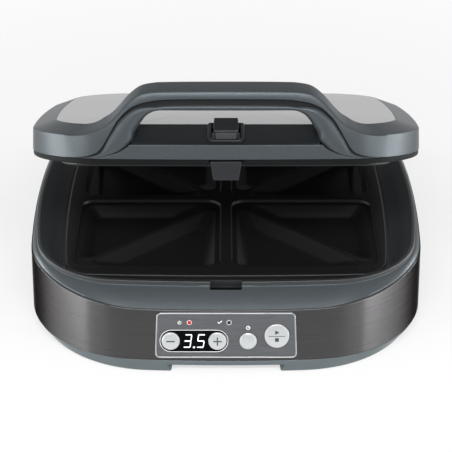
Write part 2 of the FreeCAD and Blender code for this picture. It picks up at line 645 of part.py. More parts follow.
def make_plate():
    body = [slab(WELL, SEAT, PLATE_TOP, PLATE_CLEARANCE)]
    hollows = []
    step = PLATE_TOP - POCKET_STEP
    floor = PLATE_TOP - POCKET_DEPTH
    for sx in (-1, 1):
        for sy in (-1, 1):
            square = pocket_points(sx, sy)
            body.append(rounded_slab(inset_points(square, -POCKET_WALL), POCKET_ROUND + 2.0,
                                     step - POCKET_WALL, PLATE_TOP))
            hollows.append(rounded_slab(square, POCKET_ROUND, step, PLATE_TOP + 1))
            a, b, c, d = inset_points(square, CUP_MARGIN)
            for tri in ([a, b, c], [a, c, d]):
                tri = inset_points(tri, RIDGE_HALF)
                outer_low = inset_points(tri, CUP_SLOPE - 2.5)
                cup_low = rounded_wire(outer_low, CUP_WALL_ROUND, floor - POCKET_WALL)
                cup_high = rounded_wire(inset_points(tri, -POCKET_WALL + 0.5), CUP_WALL_ROUND, step - 1.0)
                body.append(loft([cup_low, cup_high]))
                low = rounded_wire(inset_points(tri, CUP_SLOPE), CUP_ROUND, floor)
                high = rounded_wire(tri, CUP_ROUND, step)
                hollows.append(loft([low, high]))
    for x, y in PLATE_BOSSES:
        body.append(rod(PLATE_BOSS_R, (x, y, TRAY_Z + REFLECTOR_SHEET), (x, y, SEAT)))
    plate = cut(fuse(body), hollows)
    return cut(plate, [rod(PLATE_SCREW_R, (x, y, 30), (x, y, 55)) for x, y in PLATE_BOSSES])


def make_heater():
    x = HEATER_X
    y = HEATER_Y
    bend = 24.0
    exit_x = 22.0
    k = bend * (1 - math.sqrt(0.5))
    z = HEATER_Z
    p = [V(-exit_x, POCKET_Y, z), V(-exit_x, y + bend, z), V(-exit_x - k, y + k, z), V(-exit_x - bend, y, z),
         V(-x + bend, y, z), V(-x + k, y - k, z), V(-x, y - bend, z), V(-x, -y + bend, z),
         V(-x + k, -y + k, z), V(-x + bend, -y, z)]
    q = [V(-v.x, v.y, v.z) for v in p]
    edges = [Part.makeLine(p[0], p[1]), Part.Arc(p[1], p[2], p[3]).toShape(), Part.makeLine(p[3], p[4]),
             Part.Arc(p[4], p[5], p[6]).toShape(), Part.makeLine(p[6], p[7]),
             Part.Arc(p[7], p[8], p[9]).toShape(), Part.makeLine(p[9], q[9]),
             Part.Arc(q[9], q[8], q[7]).toShape(), Part.makeLine(q[7], q[6]),
             Part.Arc(q[6], q[5], q[4]).toShape(), Part.makeLine(q[4], q[3]),
             Part.Arc(q[3], q[2], q[1]).toShape(), Part.makeLine(q[1], q[0])]
    path = Part.Wire(edges)
    ring_edge = Part.Wire([Part.makeCircle(HEATER_R, p[0], V(0, -1, 0))])
    return path.makePipeShell([ring_edge], True, True)


def make_reflector():
    low = TRAY_Z
    top = TRAY_Z + REFLECTOR_SHEET
    tray_x = WELL["half_width"] - 8.0
    tray_y = WELL["rear"] - 14.0
    tab_x = WELL["half_width"] - 3.4
    tab_y = WELL["rear"] - 3.4
    wall = REFLECTOR_SHEET
    tray = box(-tray_x, tray_x, -tray_y, tray_y, low, top + 7.0)
    tray = tray.common(slab(LID, low - 1.0, top + 8.0, TRAY_INSET))
    inside = box(-tray_x + wall, tray_x - wall, -tray_y + wall, tray_y - wall, top, top + 20)
    tray = tray.cut(inside.common(slab(LID, top - 1.0, top + 21.0, TRAY_INSET + wall)))
    pieces = [tray]
    for side in (-1, 1):
        x_in = side * (tray_x - 0.5)
        x_out = side * tab_x
        pieces.append(box(min(x_in, x_out), max(x_in, x_out), -TAB_HALF, TAB_HALF, low, top))
        x_in = side * (tab_x - TAB_SHEET)
        pieces.append(box(min(x_in, x_out), max(x_in, x_out), -TAB_HALF, TAB_HALF, low, SEAT_LOW))
        y_in = side * (tray_y - 0.5)
        y_out = side * tab_y
        pieces.append(box(-TAB_OUT, -TAB_IN, min(y_in, y_out), max(y_in, y_out), low, top))
        pieces.append(box(TAB_IN, TAB_OUT, min(y_in, y_out), max(y_in, y_out), low, top))
        y_in = side * (tab_y - TAB_SHEET)
        pieces.append(box(-TAB_OUT, -TAB_IN, min(y_in, y_out), max(y_in, y_out), low, SEAT_LOW))
        pieces.append(box(TAB_IN, TAB_OUT, min(y_in, y_out), max(y_in, y_out), low, SEAT_LOW))
    for x, y in ((-HEATER_X, 40), (HEATER_X, 40), (-50, -HEATER_Y), (50, -HEATER_Y)):
        pieces.append(box(x - 4, x + 4, y - 4, y + 4, top, HEATER_Z - HEATER_R))
    tray = fuse(pieces)
    return cut(tray, [rod(PLATE_SCREW_R + 0.1, (x, y, low - 5), (x, y, top + 5)) for x, y in PLATE_BOSSES])


def make_plate_screws():
    return group([screw(x, y, TRAY_Z - 2.0, 53.0, PLATE_SCREW_R, 3.4, 2.0) for x, y in PLATE_BOSSES])


parts["lower_plate"] = make_plate()
parts["lower_heater"] = make_heater()
parts["lower_reflector"] = make_reflector()
parts["lower_plate_screws"] = make_plate_screws()
parts["thermal_cutout"] = rod(9.0, (50, 30, TRAY_Z - 6.0), (50, 30, TRAY_Z))
gland_rear = COVER_REAR + GLAND_FLANGE
gland_flange = rod(GLAND_R + 3.0, (GLAND_X, COVER_REAR, GLAND_Z), (GLAND_X, gland_rear, GLAND_Z))
gland_body = rod(GLAND_R, (GLAND_X, COVER_REAR - GLAND_BODY, GLAND_Z), (GLAND_X, COVER_REAR, GLAND_Z))
gland_bore = rod(GLAND_BORE_R, (GLAND_X, COVER_REAR - 10, GLAND_Z), (GLAND_X, COVER_REAR + 10, GLAND_Z))
parts["cord_gland"] = gland_flange.fuse(gland_body).removeSplitter().cut(gland_bore)

# Lid pieces, drawn closed and gathered so that they can be turned open together
lid = {}
MIRROR_Z = PLATE_TOP + PLATE_GAP / 2.0
for name in ("plate", "heater", "reflector", "plate_screws"):
    lid["upper_" + name] = parts["lower_" + name].mirror(V(0, 0, MIRROR_Z), V(0, 0, 1))
lid_tray_top = 2 * MIRROR_Z - TRAY_Z
lid["lid_thermostat"] = rod(9.0, (50, 30, lid_tray_top), (50, 30, lid_tray_top + 4.4))
lid["hinge_arms"] = group(arms)

# Lower rim of the lid, with the ears of the latch pin
rim = slab(LID, RIM_LOW, RIM_TOP, 0.5).cut(slab(WELL, 60, 90, PLATE_CLEARANCE + 5.0))
rim = cut(rim, pocket_rooms(RIM_LOW - 1.0, RIM_TOP + 1.0))
NOTCH_HALF = 14.5
EAR_SHEET = 4.0
EAR_R = 4.5
LID_SCREW_R = 1.8
LID_SCREW_HEAD_R = 3.3
LID_SCREW_HEAD = 2.0
LID_SCREW_TOP = RIM_TOP + 12.0
rim = rim.cut(box(-NOTCH_HALF, NOTCH_HALF, LID["front"] - 10.0, LATCH_Y + 5.0, RIM_LOW - 10.0,
                  RIM_TOP + 10.0))
for side in (-1, 1):
    x0 = side * (NOTCH_HALF + 0.5)
    x1 = side * (NOTCH_HALF + 0.5 + EAR_SHEET)
    ear = box(min(x0, x1), max(x0, x1), LATCH_Y - EAR_R, LATCH_Y + EAR_R, RIM_TOP - 2, LATCH_Z)
    eye = rod(EAR_R, (min(x0, x1), LATCH_Y, LATCH_Z), (max(x0, x1), LATCH_Y, LATCH_Z))
    rim = fuse([rim, ear, eye])
pin_reach = NOTCH_HALF + 0.5 + EAR_SHEET
lid["latch_pin"] = rod(LATCH_PIN_R, (-pin_reach, LATCH_Y, LATCH_Z), (pin_reach, LATCH_Y, LATCH_Z))
rim = rim.cut(lid["latch_pin"])
for side in (-1, 1):
    x = side * HINGE_X
    rim = cut(rim, [rod(HINGE_SCREW_R + 0.1, (x, ARM_SCREW_Y, 60), (x, ARM_SCREW_Y, 90)),
                    rod(3.1, (x, ARM_SCREW_Y, 60), (x, ARM_SCREW_Y, RIM_LOW + 2.1))])
LID_BOSS_X = LID["half_width"] - 12.5
LID_BOSS_Y = 62.0
HANDLE_SCREW = (HANDLE_END_X - 15.0, LID["front"] + 22.0)
lid_boss_places = [(sx * LID_BOSS_X, sy * LID_BOSS_Y) for sx in (-1, 1) for sy in (-1, 1)]
handle_places = [(sx * HANDLE_SCREW[0], HANDLE_SCREW[1]) for sx in (-1, 1)]
for x, y in lid_boss_places + handle_places:
    rim = cut(rim, [rod(LID_SCREW_R + 0.1, (x, y, 60), (x, y, 90)),
                    rod(LID_SCREW_HEAD_R + 0.1, (x, y, 60), (x, y, RIM_LOW + 2.3))])
lid["lid_rim"] = rim
for name, places in (("lid_screws", lid_boss_places), ("handle_screws", handle_places)):
    lid[name] = group([screw(x, y, RIM_LOW + 0.3, LID_SCREW_TOP, LID_SCREW_R, LID_SCREW_HEAD_R,
                             LID_SCREW_HEAD) for x, y in places])
lid["hinge_arm_screws"] = group(arm_screws)

# Lid frame: upright wall and sloping bevel round the top panel
outer = slab(LID, RIM_TOP, CREASE).fuse(loft([outline(LID, CREASE), outline(LID, PANEL_EDGE, HANDLE_DEPTH)]))
LEDGE_IN = HANDLE_DEPTH + 6.0
WALL_TOP = CREASE - 1.7
LEDGE_LOW = PANEL_SEAT - 2.5
inner = slab(LID, RIM_TOP - 1, WALL_TOP, LID_WALL)
inner_slope = loft([outline(LID, WALL_TOP, LID_WALL), outline(LID, LEDGE_LOW, LEDGE_IN)])
opening = slab(LID, LEDGE_LOW, PANEL_SEAT + 5, LEDGE_IN)
seat = slab(LID, PANEL_SEAT, PANEL_EDGE + 2, HANDLE_DEPTH)
lid_frame = cut(outer.removeSplitter(), [inner, inner_slope, opening, seat])
handle_ring = slab(LID, RIM_TOP - 2, 150.0, -1.0).cut(slab(LID, RIM_TOP - 3, 160.0, HANDLE_DEPTH))
handle_zone = handle_ring.common(box(-HANDLE_END_X, HANDLE_END_X, -200, -60, 60, 160))
RECESS_HALF = HANDLE_END_X - 54.5
RECESS_REAR = LID["front"] + HANDLE_DEPTH + 7.2
recess_zone = box(-RECESS_HALF, RECESS_HALF, -200, RECESS_REAR, RIM_TOP - 1, 120)
gap_half = BARREL_HALF + 0.6
gap_front = LID["rear"] - LEAF_LENGTH - 0.6
hinge_gaps = [box(s * HINGE_X - gap_half, s * HINGE_X + gap_half, gap_front, LID["rear"] + 40.0, RIM_TOP - 2,
                  LEAF_TOP + 0.6) for s in (-1, 1)]
lid_bosses = [rod(4.5, (x, y, RIM_TOP), (x, y, CREASE - 0.5)) for x, y in lid_boss_places]
lid_frame = cut(lid_frame, [handle_zone, recess_zone] + hinge_gaps)
lid_frame = fuse([lid_frame] + lid_bosses)
lid_frame = cut(lid_frame, [rod(LID_SCREW_R, (x, y, 60), (x, y, LID_SCREW_TOP)) for x, y in lid_boss_places])
lid["lid_frame"] = lid_frame

# Crowned top panel let into the frame
crown = Part.makeSphere(CROWN_RADIUS, V(0, 0, CROWN_TOP - CROWN_RADIUS))
panel = slab(LID, PANEL_SEAT, PANEL_EDGE + 8, HANDLE_DEPTH).common(crown)
panel = panel.cut(recess_zone)
crown_inside = Part.makeSphere(CROWN_RADIUS, V(0, 0, CROWN_TOP - CROWN_RADIUS - PANEL_SHEET))
under_panel = slab(LID, PANEL_SEAT - 1, PANEL_EDGE + 8, HANDLE_DEPTH + PANEL_LIP).common(crown_inside)
under_panel = under_panel.cut(box(-RECESS_HALF - 3, RECESS_HALF + 3, -200, RECESS_REAR + 3, 60, 130))
lid["lid_top_panel"] = panel.cut(under_panel)

# Arched handle: front views of its edges as (x, height above the rim), stretched with the lid
HANDLE_STRETCH = HANDLE_END_X / 133.0


def stretched(points):
    return [(x * HANDLE_STRETCH, t) for x, t in points]


CREASE_LINE = stretched([(0, 60.7), (30, 60.6), (50, 60.3), (60, 59.8), (71.6, 57.3), (81.6, 50), (90.5, 40),
                         (96, 34.4), (102, 30), (110, 26.4), (119, 24.3), (126, 23.6), (133, 23.5)])
UNDER_LINE = stretched([(0, 44.6), (30, 44.6), (50, 44.6), (60, 43.9), (66, 39.9), (71.5, 33.2), (75.5, 26.6),
                        (78, 20.4), (78.8, 16.6)])
SWEEP_LINE = stretched([(78.8, 16.6), (82, 13.9), (89, 10.0), (97, 7.4), (105, 5.5), (112, 4.5)])
SPLIT_LINE = stretched([(0, 51.2), (30, 51.1), (50, 50.7), (62, 49.3), (75, 45.8), (85, 38.6), (91, 29.9),
                        (96, 21.6), (102, 12.4), (105.5, 7.8), (108, 5.0)])
GROOVE_TOP = stretched([(0, 54.4), (30, 54.3), (50, 53.9), (62, 52.5), (75, 48.9), (85, 41.9), (91, 33.2),
                        (96, 24.6), (101, 16.4)])
GROOVE_LOW = stretched([(0, 48.0), (30, 47.9), (50, 47.5), (62, 46.1), (75, 42.7), (85, 35.4), (91, 26.7),
                        (96, 18.8), (100, 13.2)])
GROOVE_DEPTH = 2.5
START_Y = LID["front"] - 6.0


def both_sides(points):
    return [(-x, t) for x, t in reversed(points) if x > 0] + list(points)


def curve(points, y=START_Y):
    spline = Part.BSplineCurve()
    spline.interpolate([V(x, y, RIM_LOW + t) for x, t in points])
    return spline.toShape()


def mirrored(points):
    return [(-x, t) for x, t in reversed(points)]


def lines(points, y=START_Y):
    return [Part.makeLine(V(a[0], y, RIM_LOW + a[1]), V(b[0], y, RIM_LOW + b[1]))
            for a, b in zip(points[:-1], points[1:])]


def extrude_front(edges, rise=0.0):
    face = Part.Face(Part.Wire(Part.sortEdges(edges)[0]))
    return face.extrude(V(0, 110.0, 110.0 * rise))


leaning = [(x, t - BEVEL_SLOPE * (front_y(LID, x) - START_Y)) for x, t in CREASE_LINE]
leaning = both_sides(leaning)
end_l = leaning[0]
end_r = leaning[-1]
below = extrude_front([curve(leaning)] + lines([end_r, (end_r[0], -60), (end_l[0], -60), end_l]), BEVEL_SLOPE)
under = [curve(both_sides(UNDER_LINE)), curve(SWEEP_LINE), curve(mirrored(SWEEP_LINE))]
sweep_end = SWEEP_LINE[-1]
CLEAR_X = HANDLE_END_X + 7.0
CLEAR_TOP = 130.0
above_edge = [sweep_end, (CLEAR_X, sweep_end[1]), (CLEAR_X, CLEAR_TOP)]
above_edge += mirrored(above_edge)
above = extrude_front(under + lines(above_edge))
handle = handle_zone.common(below).common(above).common(box(-200, 200, -200, 0, RIM_TOP, 200))
split_part = both_sides(SPLIT_LINE)
split_end = SPLIT_LINE[-1]
low_edges = [curve(split_part)]
low_edges += lines([split_end, (split_end[0], -20), (-split_end[0], -20), (-split_end[0], split_end[1])])
low_side = extrude_front(low_edges)
groove_edges = [curve(both_sides(GROOVE_TOP)), curve(both_sides(GROOVE_LOW))]
groove_edges += lines([GROOVE_TOP[-1], GROOVE_LOW[-1]]) + lines(mirrored([GROOVE_TOP[-1], GROOVE_LOW[-1]]))
groove = extrude_front(groove_edges)
groove = groove.common(slab(LID, 60, 200, -2.0).cut(slab(LID, 50, 210, GROOVE_DEPTH)))
handle_upper = handle.cut(low_side).cut(groove)
handle_lower = handle.common(low_side).cut(groove)
handle_holes = [rod(LID_SCREW_R, (x, y, 60), (x, y, LID_SCREW_TOP)) for x, y in handle_places]
lid["handle_upper"] = cut(handle_upper, handle_holes)
lid["handle_lower"] = handle_lower

# Front strip under the finger gap, and the dark recess behind it
STRIP_TOP = 16.6
TRIM_DEPTH = 3.0
TRIM_END = 104.0 * HANDLE_STRETCH
trim_edges = [curve(SWEEP_LINE), curve(mirrored(SWEEP_LINE))]
trim_edges += lines([(-sweep_end[0], sweep_end[1]), (-sweep_end[0], -5), (sweep_end[0], -5), sweep_end])
trim_edges += lines([(-SWEEP_LINE[0][0], STRIP_TOP), SWEEP_LINE[0]])
strip = extrude_front(trim_edges)
strip = strip.common(slab(LID, RIM_TOP, 120).cut(slab(LID, 60, 130, TRIM_DEPTH)))
lid["front_trim"] = strip.common(box(-TRIM_END, TRIM_END, -200, -60, 60, 120))
SLOPE_Y = LID["front"] + TRIM_DEPTH
SLOPE_Z = RIM_LOW + STRIP_TOP
SLOPE_RUN = HANDLE_DEPTH + 4.0
SLOPE_RISE = PANEL_EDGE - 0.4 - SLOPE_Z
slope_gain = SLOPE_RISE / SLOPE_RUN
SLOPE_START = 4.0
LEG_FRONT = 5.0
LEG_REAR = 21.0
front_z = SLOPE_Z - SLOPE_START * slope_gain
LINER = 2.0
liner_front = SLOPE_Y - SLOPE_START
liner_rear = SLOPE_Y + SLOPE_RUN
rear_z = SLOPE_Z + SLOPE_RISE
liner = side_plate([(liner_front, front_z), (liner_rear, rear_z), (liner_rear, rear_z - LINER),
                    (liner_front, front_z - LINER)], RECESS_HALF - 0.9)
leg_front_top = SLOPE_Z + LEG_FRONT * slope_gain - LINER / 2
leg_rear_top = SLOPE_Z + LEG_REAR * slope_gain - LINER / 2
leg_side = [(SLOPE_Y + LEG_FRONT, RIM_TOP), (SLOPE_Y + LEG_FRONT, leg_front_top),
            (SLOPE_Y + LEG_REAR, leg_rear_top), (SLOPE_Y + LEG_REAR, RIM_TOP)]
legs = [side_plate(leg_side, 1.2, s * (RECESS_HALF - 18.5)) for s in (-1, 1)]
liner = fuse([liner] + legs).common(slab(LID, 60, 130, TRIM_DEPTH))
liner = liner.cut(handle)
WINDOW_HALF = 11.9
liner = liner.cut(box(-WINDOW_HALF, WINDOW_HALF, SLOPE_Y + 4.4, SLOPE_Y + 23.0, 80, 110))
lid["finger_recess"] = liner
slope_angle = math.degrees(math.atan(slope_gain))
bezel = box(-15.0, 15.0, 2.8, 27.3, 0.0, 1.6).cut(box(-WINDOW_HALF, WINDOW_HALF, 5.0, 26.4, -1.0, 3.0))
bezel.Placement = FreeCAD.Placement(V(0, SLOPE_Y, SLOPE_Z), FreeCAD.Rotation(V(1, 0, 0), slope_angle))
lid["latch_bezel"] = bezel

# Latch: hook lever on a cross pin, with its thumb button, drawn from the pin as (y, z)
BLADE_FRONT = -9.2
BLADE_BACK = -5.8
BLADE_TOP = -7.8
BLADE_LOW = -23.5
BLADE_TOP_HALF = 12.9
BLADE_LOW_HALF = 10.3
LATCH_EYE_R = 4.2
STEM_HALF = 8.0
BUTTON_SIDE_PLAY = 1.65


def from_pin(points):
    return [(LATCH_Y + y, LATCH_Z + z) for y, z in points]


blade_points = [(-BLADE_TOP_HALF, BLADE_TOP), (-BLADE_LOW_HALF, BLADE_LOW), (BLADE_LOW_HALF, BLADE_LOW),
                (BLADE_TOP_HALF, BLADE_TOP), (-BLADE_TOP_HALF, BLADE_TOP)]
blade_wire = Part.makePolygon([V(x, LATCH_Y + BLADE_FRONT, LATCH_Z + z) for x, z in blade_points])
blade = Part.Face(blade_wire).extrude(V(0, BLADE_BACK - BLADE_FRONT, 0))
nose_side = [(-6.5, BLADE_LOW), (-4.2, BLADE_LOW), (-3.2, -22.4), (-3.2, -21.0), (-6.5, -20.6)]
stem_side = [(-7.5, -12.0), (BLADE_BACK, -10.6), (1.0, -6.0), (4.0, -1.0), (4.0, 1.0), (0.0, LATCH_EYE_R),
             (-LATCH_EYE_R, 0.0), (-6.0, -7.0), (-7.5, BLADE_TOP)]
reach_side = [(-2.8, 1.0), (3.0, 0.0), (10.0, 14.0), (2.5, 14.0)]
button_side = [(0.0, 10.5), (1.0, 16.0), (11.5, 23.4), (11.5, 15.0), (8.0, 12.0)]
nose = side_plate(from_pin(nose_side), BLADE_LOW_HALF - 0.8)
stem = side_plate(from_pin(stem_side), STEM_HALF)
eye = rod(LATCH_EYE_R, (-STEM_HALF, LATCH_Y, LATCH_Z), (STEM_HALF, LATCH_Y, LATCH_Z))
reach = side_plate(from_pin(reach_side), STEM_HALF - 3.0)
button = side_plate(from_pin(button_side), WINDOW_HALF - BUTTON_SIDE_PLAY)
lever = fuse([blade, nose, stem, eye, reach]).cut(button)
lever = lever.cut(rod(LATCH_PIN_R + RUNNING_FIT, (-30, LATCH_Y, LATCH_Z), (30, LATCH_Y, LATCH_Z)))
lid["latch_lever"] = lever
lid["latch_button"] = button
SPRING_MEAN_R = 3.1
SPRING_WIRE_R = 0.45
SPRING_X = 9.4
SPRING_LENGTH = 3.75
turns = [rod(SPRING_MEAN_R + grow, (SPRING_X, LATCH_Y, LATCH_Z), (SPRING_X + SPRING_LENGTH, LATCH_Y, LATCH_Z))
         for grow in (SPRING_WIRE_R, -SPRING_WIRE_R)]
leg_x = SPRING_X + SPRING_WIRE_R
spring_leg = rod(SPRING_WIRE_R, (leg_x, LATCH_Y, LATCH_Z - SPRING_MEAN_R),
                 (leg_x, LATCH_Y + 8.0, RIM_TOP + SPRING_WIRE_R))
lid["latch_spring"] = turns[0].cut(turns[1]).fuse(spring_leg)

# Turn the lid to its rest angle and write every piece
for name, shape in lid.items():
    turned = shape.copy()
    turned.rotate(V(0, HINGE_Y, HINGE_Z), V(1, 0, 0), -REST_OPEN_DEG)
    parts[name] = turned

for name, shape in parts.items():
    shape.exportStep("parts/" + name + ".step")
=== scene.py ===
import json
import math
from functools import partial
import bmesh
import bpy
from mathutils import Matrix, Vector


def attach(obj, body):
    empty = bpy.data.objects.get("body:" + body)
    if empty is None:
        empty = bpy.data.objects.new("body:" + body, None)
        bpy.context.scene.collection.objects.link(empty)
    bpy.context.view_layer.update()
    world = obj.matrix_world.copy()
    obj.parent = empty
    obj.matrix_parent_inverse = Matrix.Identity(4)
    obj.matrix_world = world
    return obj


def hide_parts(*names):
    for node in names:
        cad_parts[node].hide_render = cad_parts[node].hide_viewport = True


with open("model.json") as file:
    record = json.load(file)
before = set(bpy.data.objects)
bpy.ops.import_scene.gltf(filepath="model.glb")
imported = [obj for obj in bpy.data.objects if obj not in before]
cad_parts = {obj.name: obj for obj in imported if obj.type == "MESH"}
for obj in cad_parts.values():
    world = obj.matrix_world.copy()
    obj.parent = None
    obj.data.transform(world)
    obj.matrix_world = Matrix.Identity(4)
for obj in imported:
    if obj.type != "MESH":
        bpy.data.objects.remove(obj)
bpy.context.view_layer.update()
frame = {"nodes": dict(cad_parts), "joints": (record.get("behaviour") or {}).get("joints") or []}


# Camera
# The machine is seen square from the front and from above, through the long lens of a product shot,
# with the frame's middle on the front part of the lower plate.
def put_in_scene(name, data):
    thing = bpy.data.objects.new(name, data)
    bpy.context.scene.collection.objects.link(thing)
    return thing


VIEW_TARGET = Vector((0.0, -0.0626, 0.069))
VIEW_ELEVATION = math.radians(29.0)
VIEW_DISTANCE = 1.5
LENS_MM, SENSOR_MM = 133.7, 36.0
lens = bpy.data.cameras.new("product_camera")
lens.lens = LENS_MM
lens.sensor_width = SENSOR_MM
camera = put_in_scene("product_camera", lens)
view_side = Vector((0.0, -math.cos(VIEW_ELEVATION), math.sin(VIEW_ELEVATION)))
camera.location = VIEW_TARGET + VIEW_DISTANCE * view_side
camera.rotation_euler = (math.radians(90.0) - VIEW_ELEVATION, 0.0, 0.0)
bpy.context.scene.camera = camera
bpy.context.scene.view_settings.view_transform = "Standard"


# Studio
# A white table top that runs out of sight, a white wall behind that shows in gloss and a dim room in front.
# Wide soft boxes stand low at the sides, small ones at the front corners, a long one hangs over the camera.
def linear(code):
    channels = [int(code[i:i + 2], 16) / 255.0 for i in (1, 3, 5)]
    return tuple(c / 12.92 if c <= 0.04045 else ((c + 0.055) / 1.055) ** 2.4 for c in channels) + (1.0,)


def add_node(tree, kind, feeds=None, **settings):
    node = tree.nodes.new(kind)
    for key, value in settings.items():
        setattr(node, key, value)
    for socket, value in (feeds or {}).items():
        if isinstance(value, bpy.types.NodeSocket):
            tree.links.new(value, node.inputs[socket])
        else:
            node.inputs[socket].default_value = value
    return node


WHITE = linear("#ffffff")
ROOM_FRONT, ROOM_ABOVE, ROOM_BEHIND = 0.14, 0.42, 1.0
CEILING_FROM, CEILING_TO = 0.04, 0.6
WALL_FROM, WALL_TO = -0.3, 0.7
world = bpy.data.worlds.new("studio_room")
bpy.context.scene.world = world
world.use_nodes = True
room = world.node_tree
room.nodes.clear()
way = add_node(room, "ShaderNodeTexCoord").outputs["Generated"]
parts = add_node(room, "ShaderNodeSeparateXYZ", {0: way}).outputs
height = add_node(room, "ShaderNodeMapRange",
                  {"Value": parts["Z"], "From Min": CEILING_FROM, "From Max": CEILING_TO}).outputs[0]
depth = add_node(room, "ShaderNodeMapRange",
                 {"Value": parts["Y"], "From Min": WALL_FROM, "From Max": WALL_TO,
                  "To Min": ROOM_FRONT, "To Max": ROOM_BEHIND}).outputs[0]
level = add_node(room, "ShaderNodeMix", {"Factor": height, "A": depth, "B": ROOM_ABOVE}).outputs["Result"]
fill = add_node(room, "ShaderNodeBackground", {"Color": WHITE, "Strength": level}).outputs[0]
white = add_node(room, "ShaderNodeBackground", {"Color": WHITE, "Strength": 1.0}).outputs[0]
direct = add_node(room, "ShaderNodeLightPath").outputs["Is Camera Ray"]
shown = add_node(room, "ShaderNodeMixShader", {0: direct, 1: fill, 2: white})
add_node(room, "ShaderNodeOutputWorld", {"Surface": shown.outputs[0]})

TABLE_HALF = 6.0
GLOW_NEAR, GLOW_FAR = 0.62, 1.0
SHADOW_NEAR, SHADOW_FAR = 0.3, 0.9
table_mesh = bpy.data.meshes.new("white_table")
table_corners = [(x * TABLE_HALF, y * TABLE_HALF, 0.0) for x, y in ((-1, -1), (1, -1), (1, 1), (-1, 1))]
table_mesh.from_pydata(table_corners, [], [(0, 1, 2, 3)])
table = put_in_scene("white_table", table_mesh)
table_paint = bpy.data.materials.new("white_table_paint")
table_paint.use_nodes = True
tree = table_paint.node_tree
tree.nodes.clear()
chalk = add_node(tree, "ShaderNodeBsdfDiffuse", {"Color": linear("#ededed")}).outputs[0]
glow = add_node(tree, "ShaderNodeEmission", {"Color": WHITE, "Strength": 1.0}).outputs[0]
spot = add_node(tree, "ShaderNodeTexCoord").outputs["Object"]
away = add_node(tree, "ShaderNodeVectorMath", {0: spot}, operation="LENGTH").outputs["Value"]
even = add_node(tree, "ShaderNodeMapRange", {"Value": away, "From Min": SHADOW_NEAR, "From Max": SHADOW_FAR,
                                             "To Min": GLOW_NEAR, "To Max": GLOW_FAR}).outputs[0]
path = add_node(tree, "ShaderNodeLightPath").outputs
gloss = add_node(tree, "ShaderNodeMath", {0: path["Is Glossy Ray"], 1: path["Is Transmission Ray"]},
                 operation="MAXIMUM").outputs[0]
seen = add_node(tree, "ShaderNodeMath", {0: path["Is Camera Ray"], 1: gloss}, operation="MAXIMUM").outputs[0]
share = add_node(tree, "ShaderNodeMath", {0: seen, 1: even}, operation="MULTIPLY").outputs[0]
table_mix = add_node(tree, "ShaderNodeMixShader", {0: share, 1: chalk, 2: glow})
add_node(tree, "ShaderNodeOutputMaterial", {"Surface": table_mix.outputs[0]})
table_mesh.materials.append(table_paint)

# Place, width and height, and power of each soft box
SOFT_BOXES = {
    "left_soft_box": ((-1.4, -0.08, 0.08), (1.9, 0.2), 22.0),
    "right_soft_box": ((1.4, -0.08, 0.08), (1.9, 0.2), 22.0),
    "front_soft_box": ((0.0, -1.25, 1.35), (1.5, 0.36), 25.0),
    "left_front_soft_box": ((-1.05, -1.05, 0.5), (0.45, 0.3), 4.5),
    "right_front_soft_box": ((1.05, -1.05, 0.5), (0.45, 0.3), 4.5),
}
LIT_POINT = Vector((0.0, 0.0, 0.08))
for name, (place, size, power) in SOFT_BOXES.items():
    light = bpy.data.lights.new(name, "AREA")
    light.shape = "RECTANGLE"
    light.size, light.size_y = size
    light.energy = power
    box_lamp = put_in_scene(name, light)
    box_lamp.location = place
    box_lamp.visible_camera = False
    box_lamp.rotation_euler = (LIT_POINT - Vector(place)).to_track_quat("-Z", "Y").to_euler()


# Base pan
# The pale grey ring that the machine stands on: one ABS moulding with four corner feet and
# cut-outs between them, screwed up into the top frame from below.
def surface(name, colour, roughness, metallic=0.0, sockets=None):
    material = bpy.data.materials.new(name)
    material.use_nodes = True
    tree = material.node_tree
    tree.nodes.clear()
    feeds = {"Base Color": linear(colour), "Roughness": roughness, "Metallic": metallic}
    shader = add_node(tree, "ShaderNodeBsdfPrincipled", {**feeds, **(sockets or {})})
    add_node(tree, "ShaderNodeOutputMaterial", {"Surface": shader.outputs[0]})
    where = add_node(tree, "ShaderNodeTexCoord").outputs["Object"]
    return material, tree, shader, where


# One noise gives a surface its flecks of tone, its changes of gloss and its relief. Its grain is a size in
# metres, and one too fine to show, as in paint or a mould's texture, is drawn as coarse as it needs to show.
# A brushed or rolled surface stretches the noise along its lines instead.
RELIEF_HEIGHT = 0.0001


def grained(name, colour, roughness, metallic=0.0, grain=None, stretch=None, detail=2.0, tones=(),
            tone_ends=(0.0, 1.0), gloss=None, relief=0.0, sockets=None):
    material, tree, shader, where = surface(name, colour, roughness, metallic, sockets)
    if stretch:
        where = add_node(tree, "ShaderNodeMapping", {"Vector": where, "Scale": stretch}).outputs[0]
    scale = 1.0 if stretch else 1.0 / grain
    noise = add_node(tree, "ShaderNodeTexNoise", {"Vector": where, "Scale": scale, "Detail": detail})
    fleck = noise.outputs["Fac"]
    if tones:
        tone = add_node(tree, "ShaderNodeValToRGB", {"Fac": fleck})
        for stop, end, code in zip(tone.color_ramp.elements, tone_ends, tones):
            stop.position = end
            stop.color = linear(code)
        tree.links.new(tone.outputs[0], shader.inputs["Base Color"])
    if gloss:
        rough = add_node(tree, "ShaderNodeMapRange", {"Value": fleck, "To Min": gloss[0], "To Max": gloss[1]})
        tree.links.new(rough.outputs[0], shader.inputs["Roughness"])
    if relief:
        bump = add_node(tree, "ShaderNodeBump",
                        {"Height": fleck, "Strength": relief, "Distance": RELIEF_HEIGHT})
        tree.links.new(bump.outputs[0], shader.inputs["Normal"])
    return material


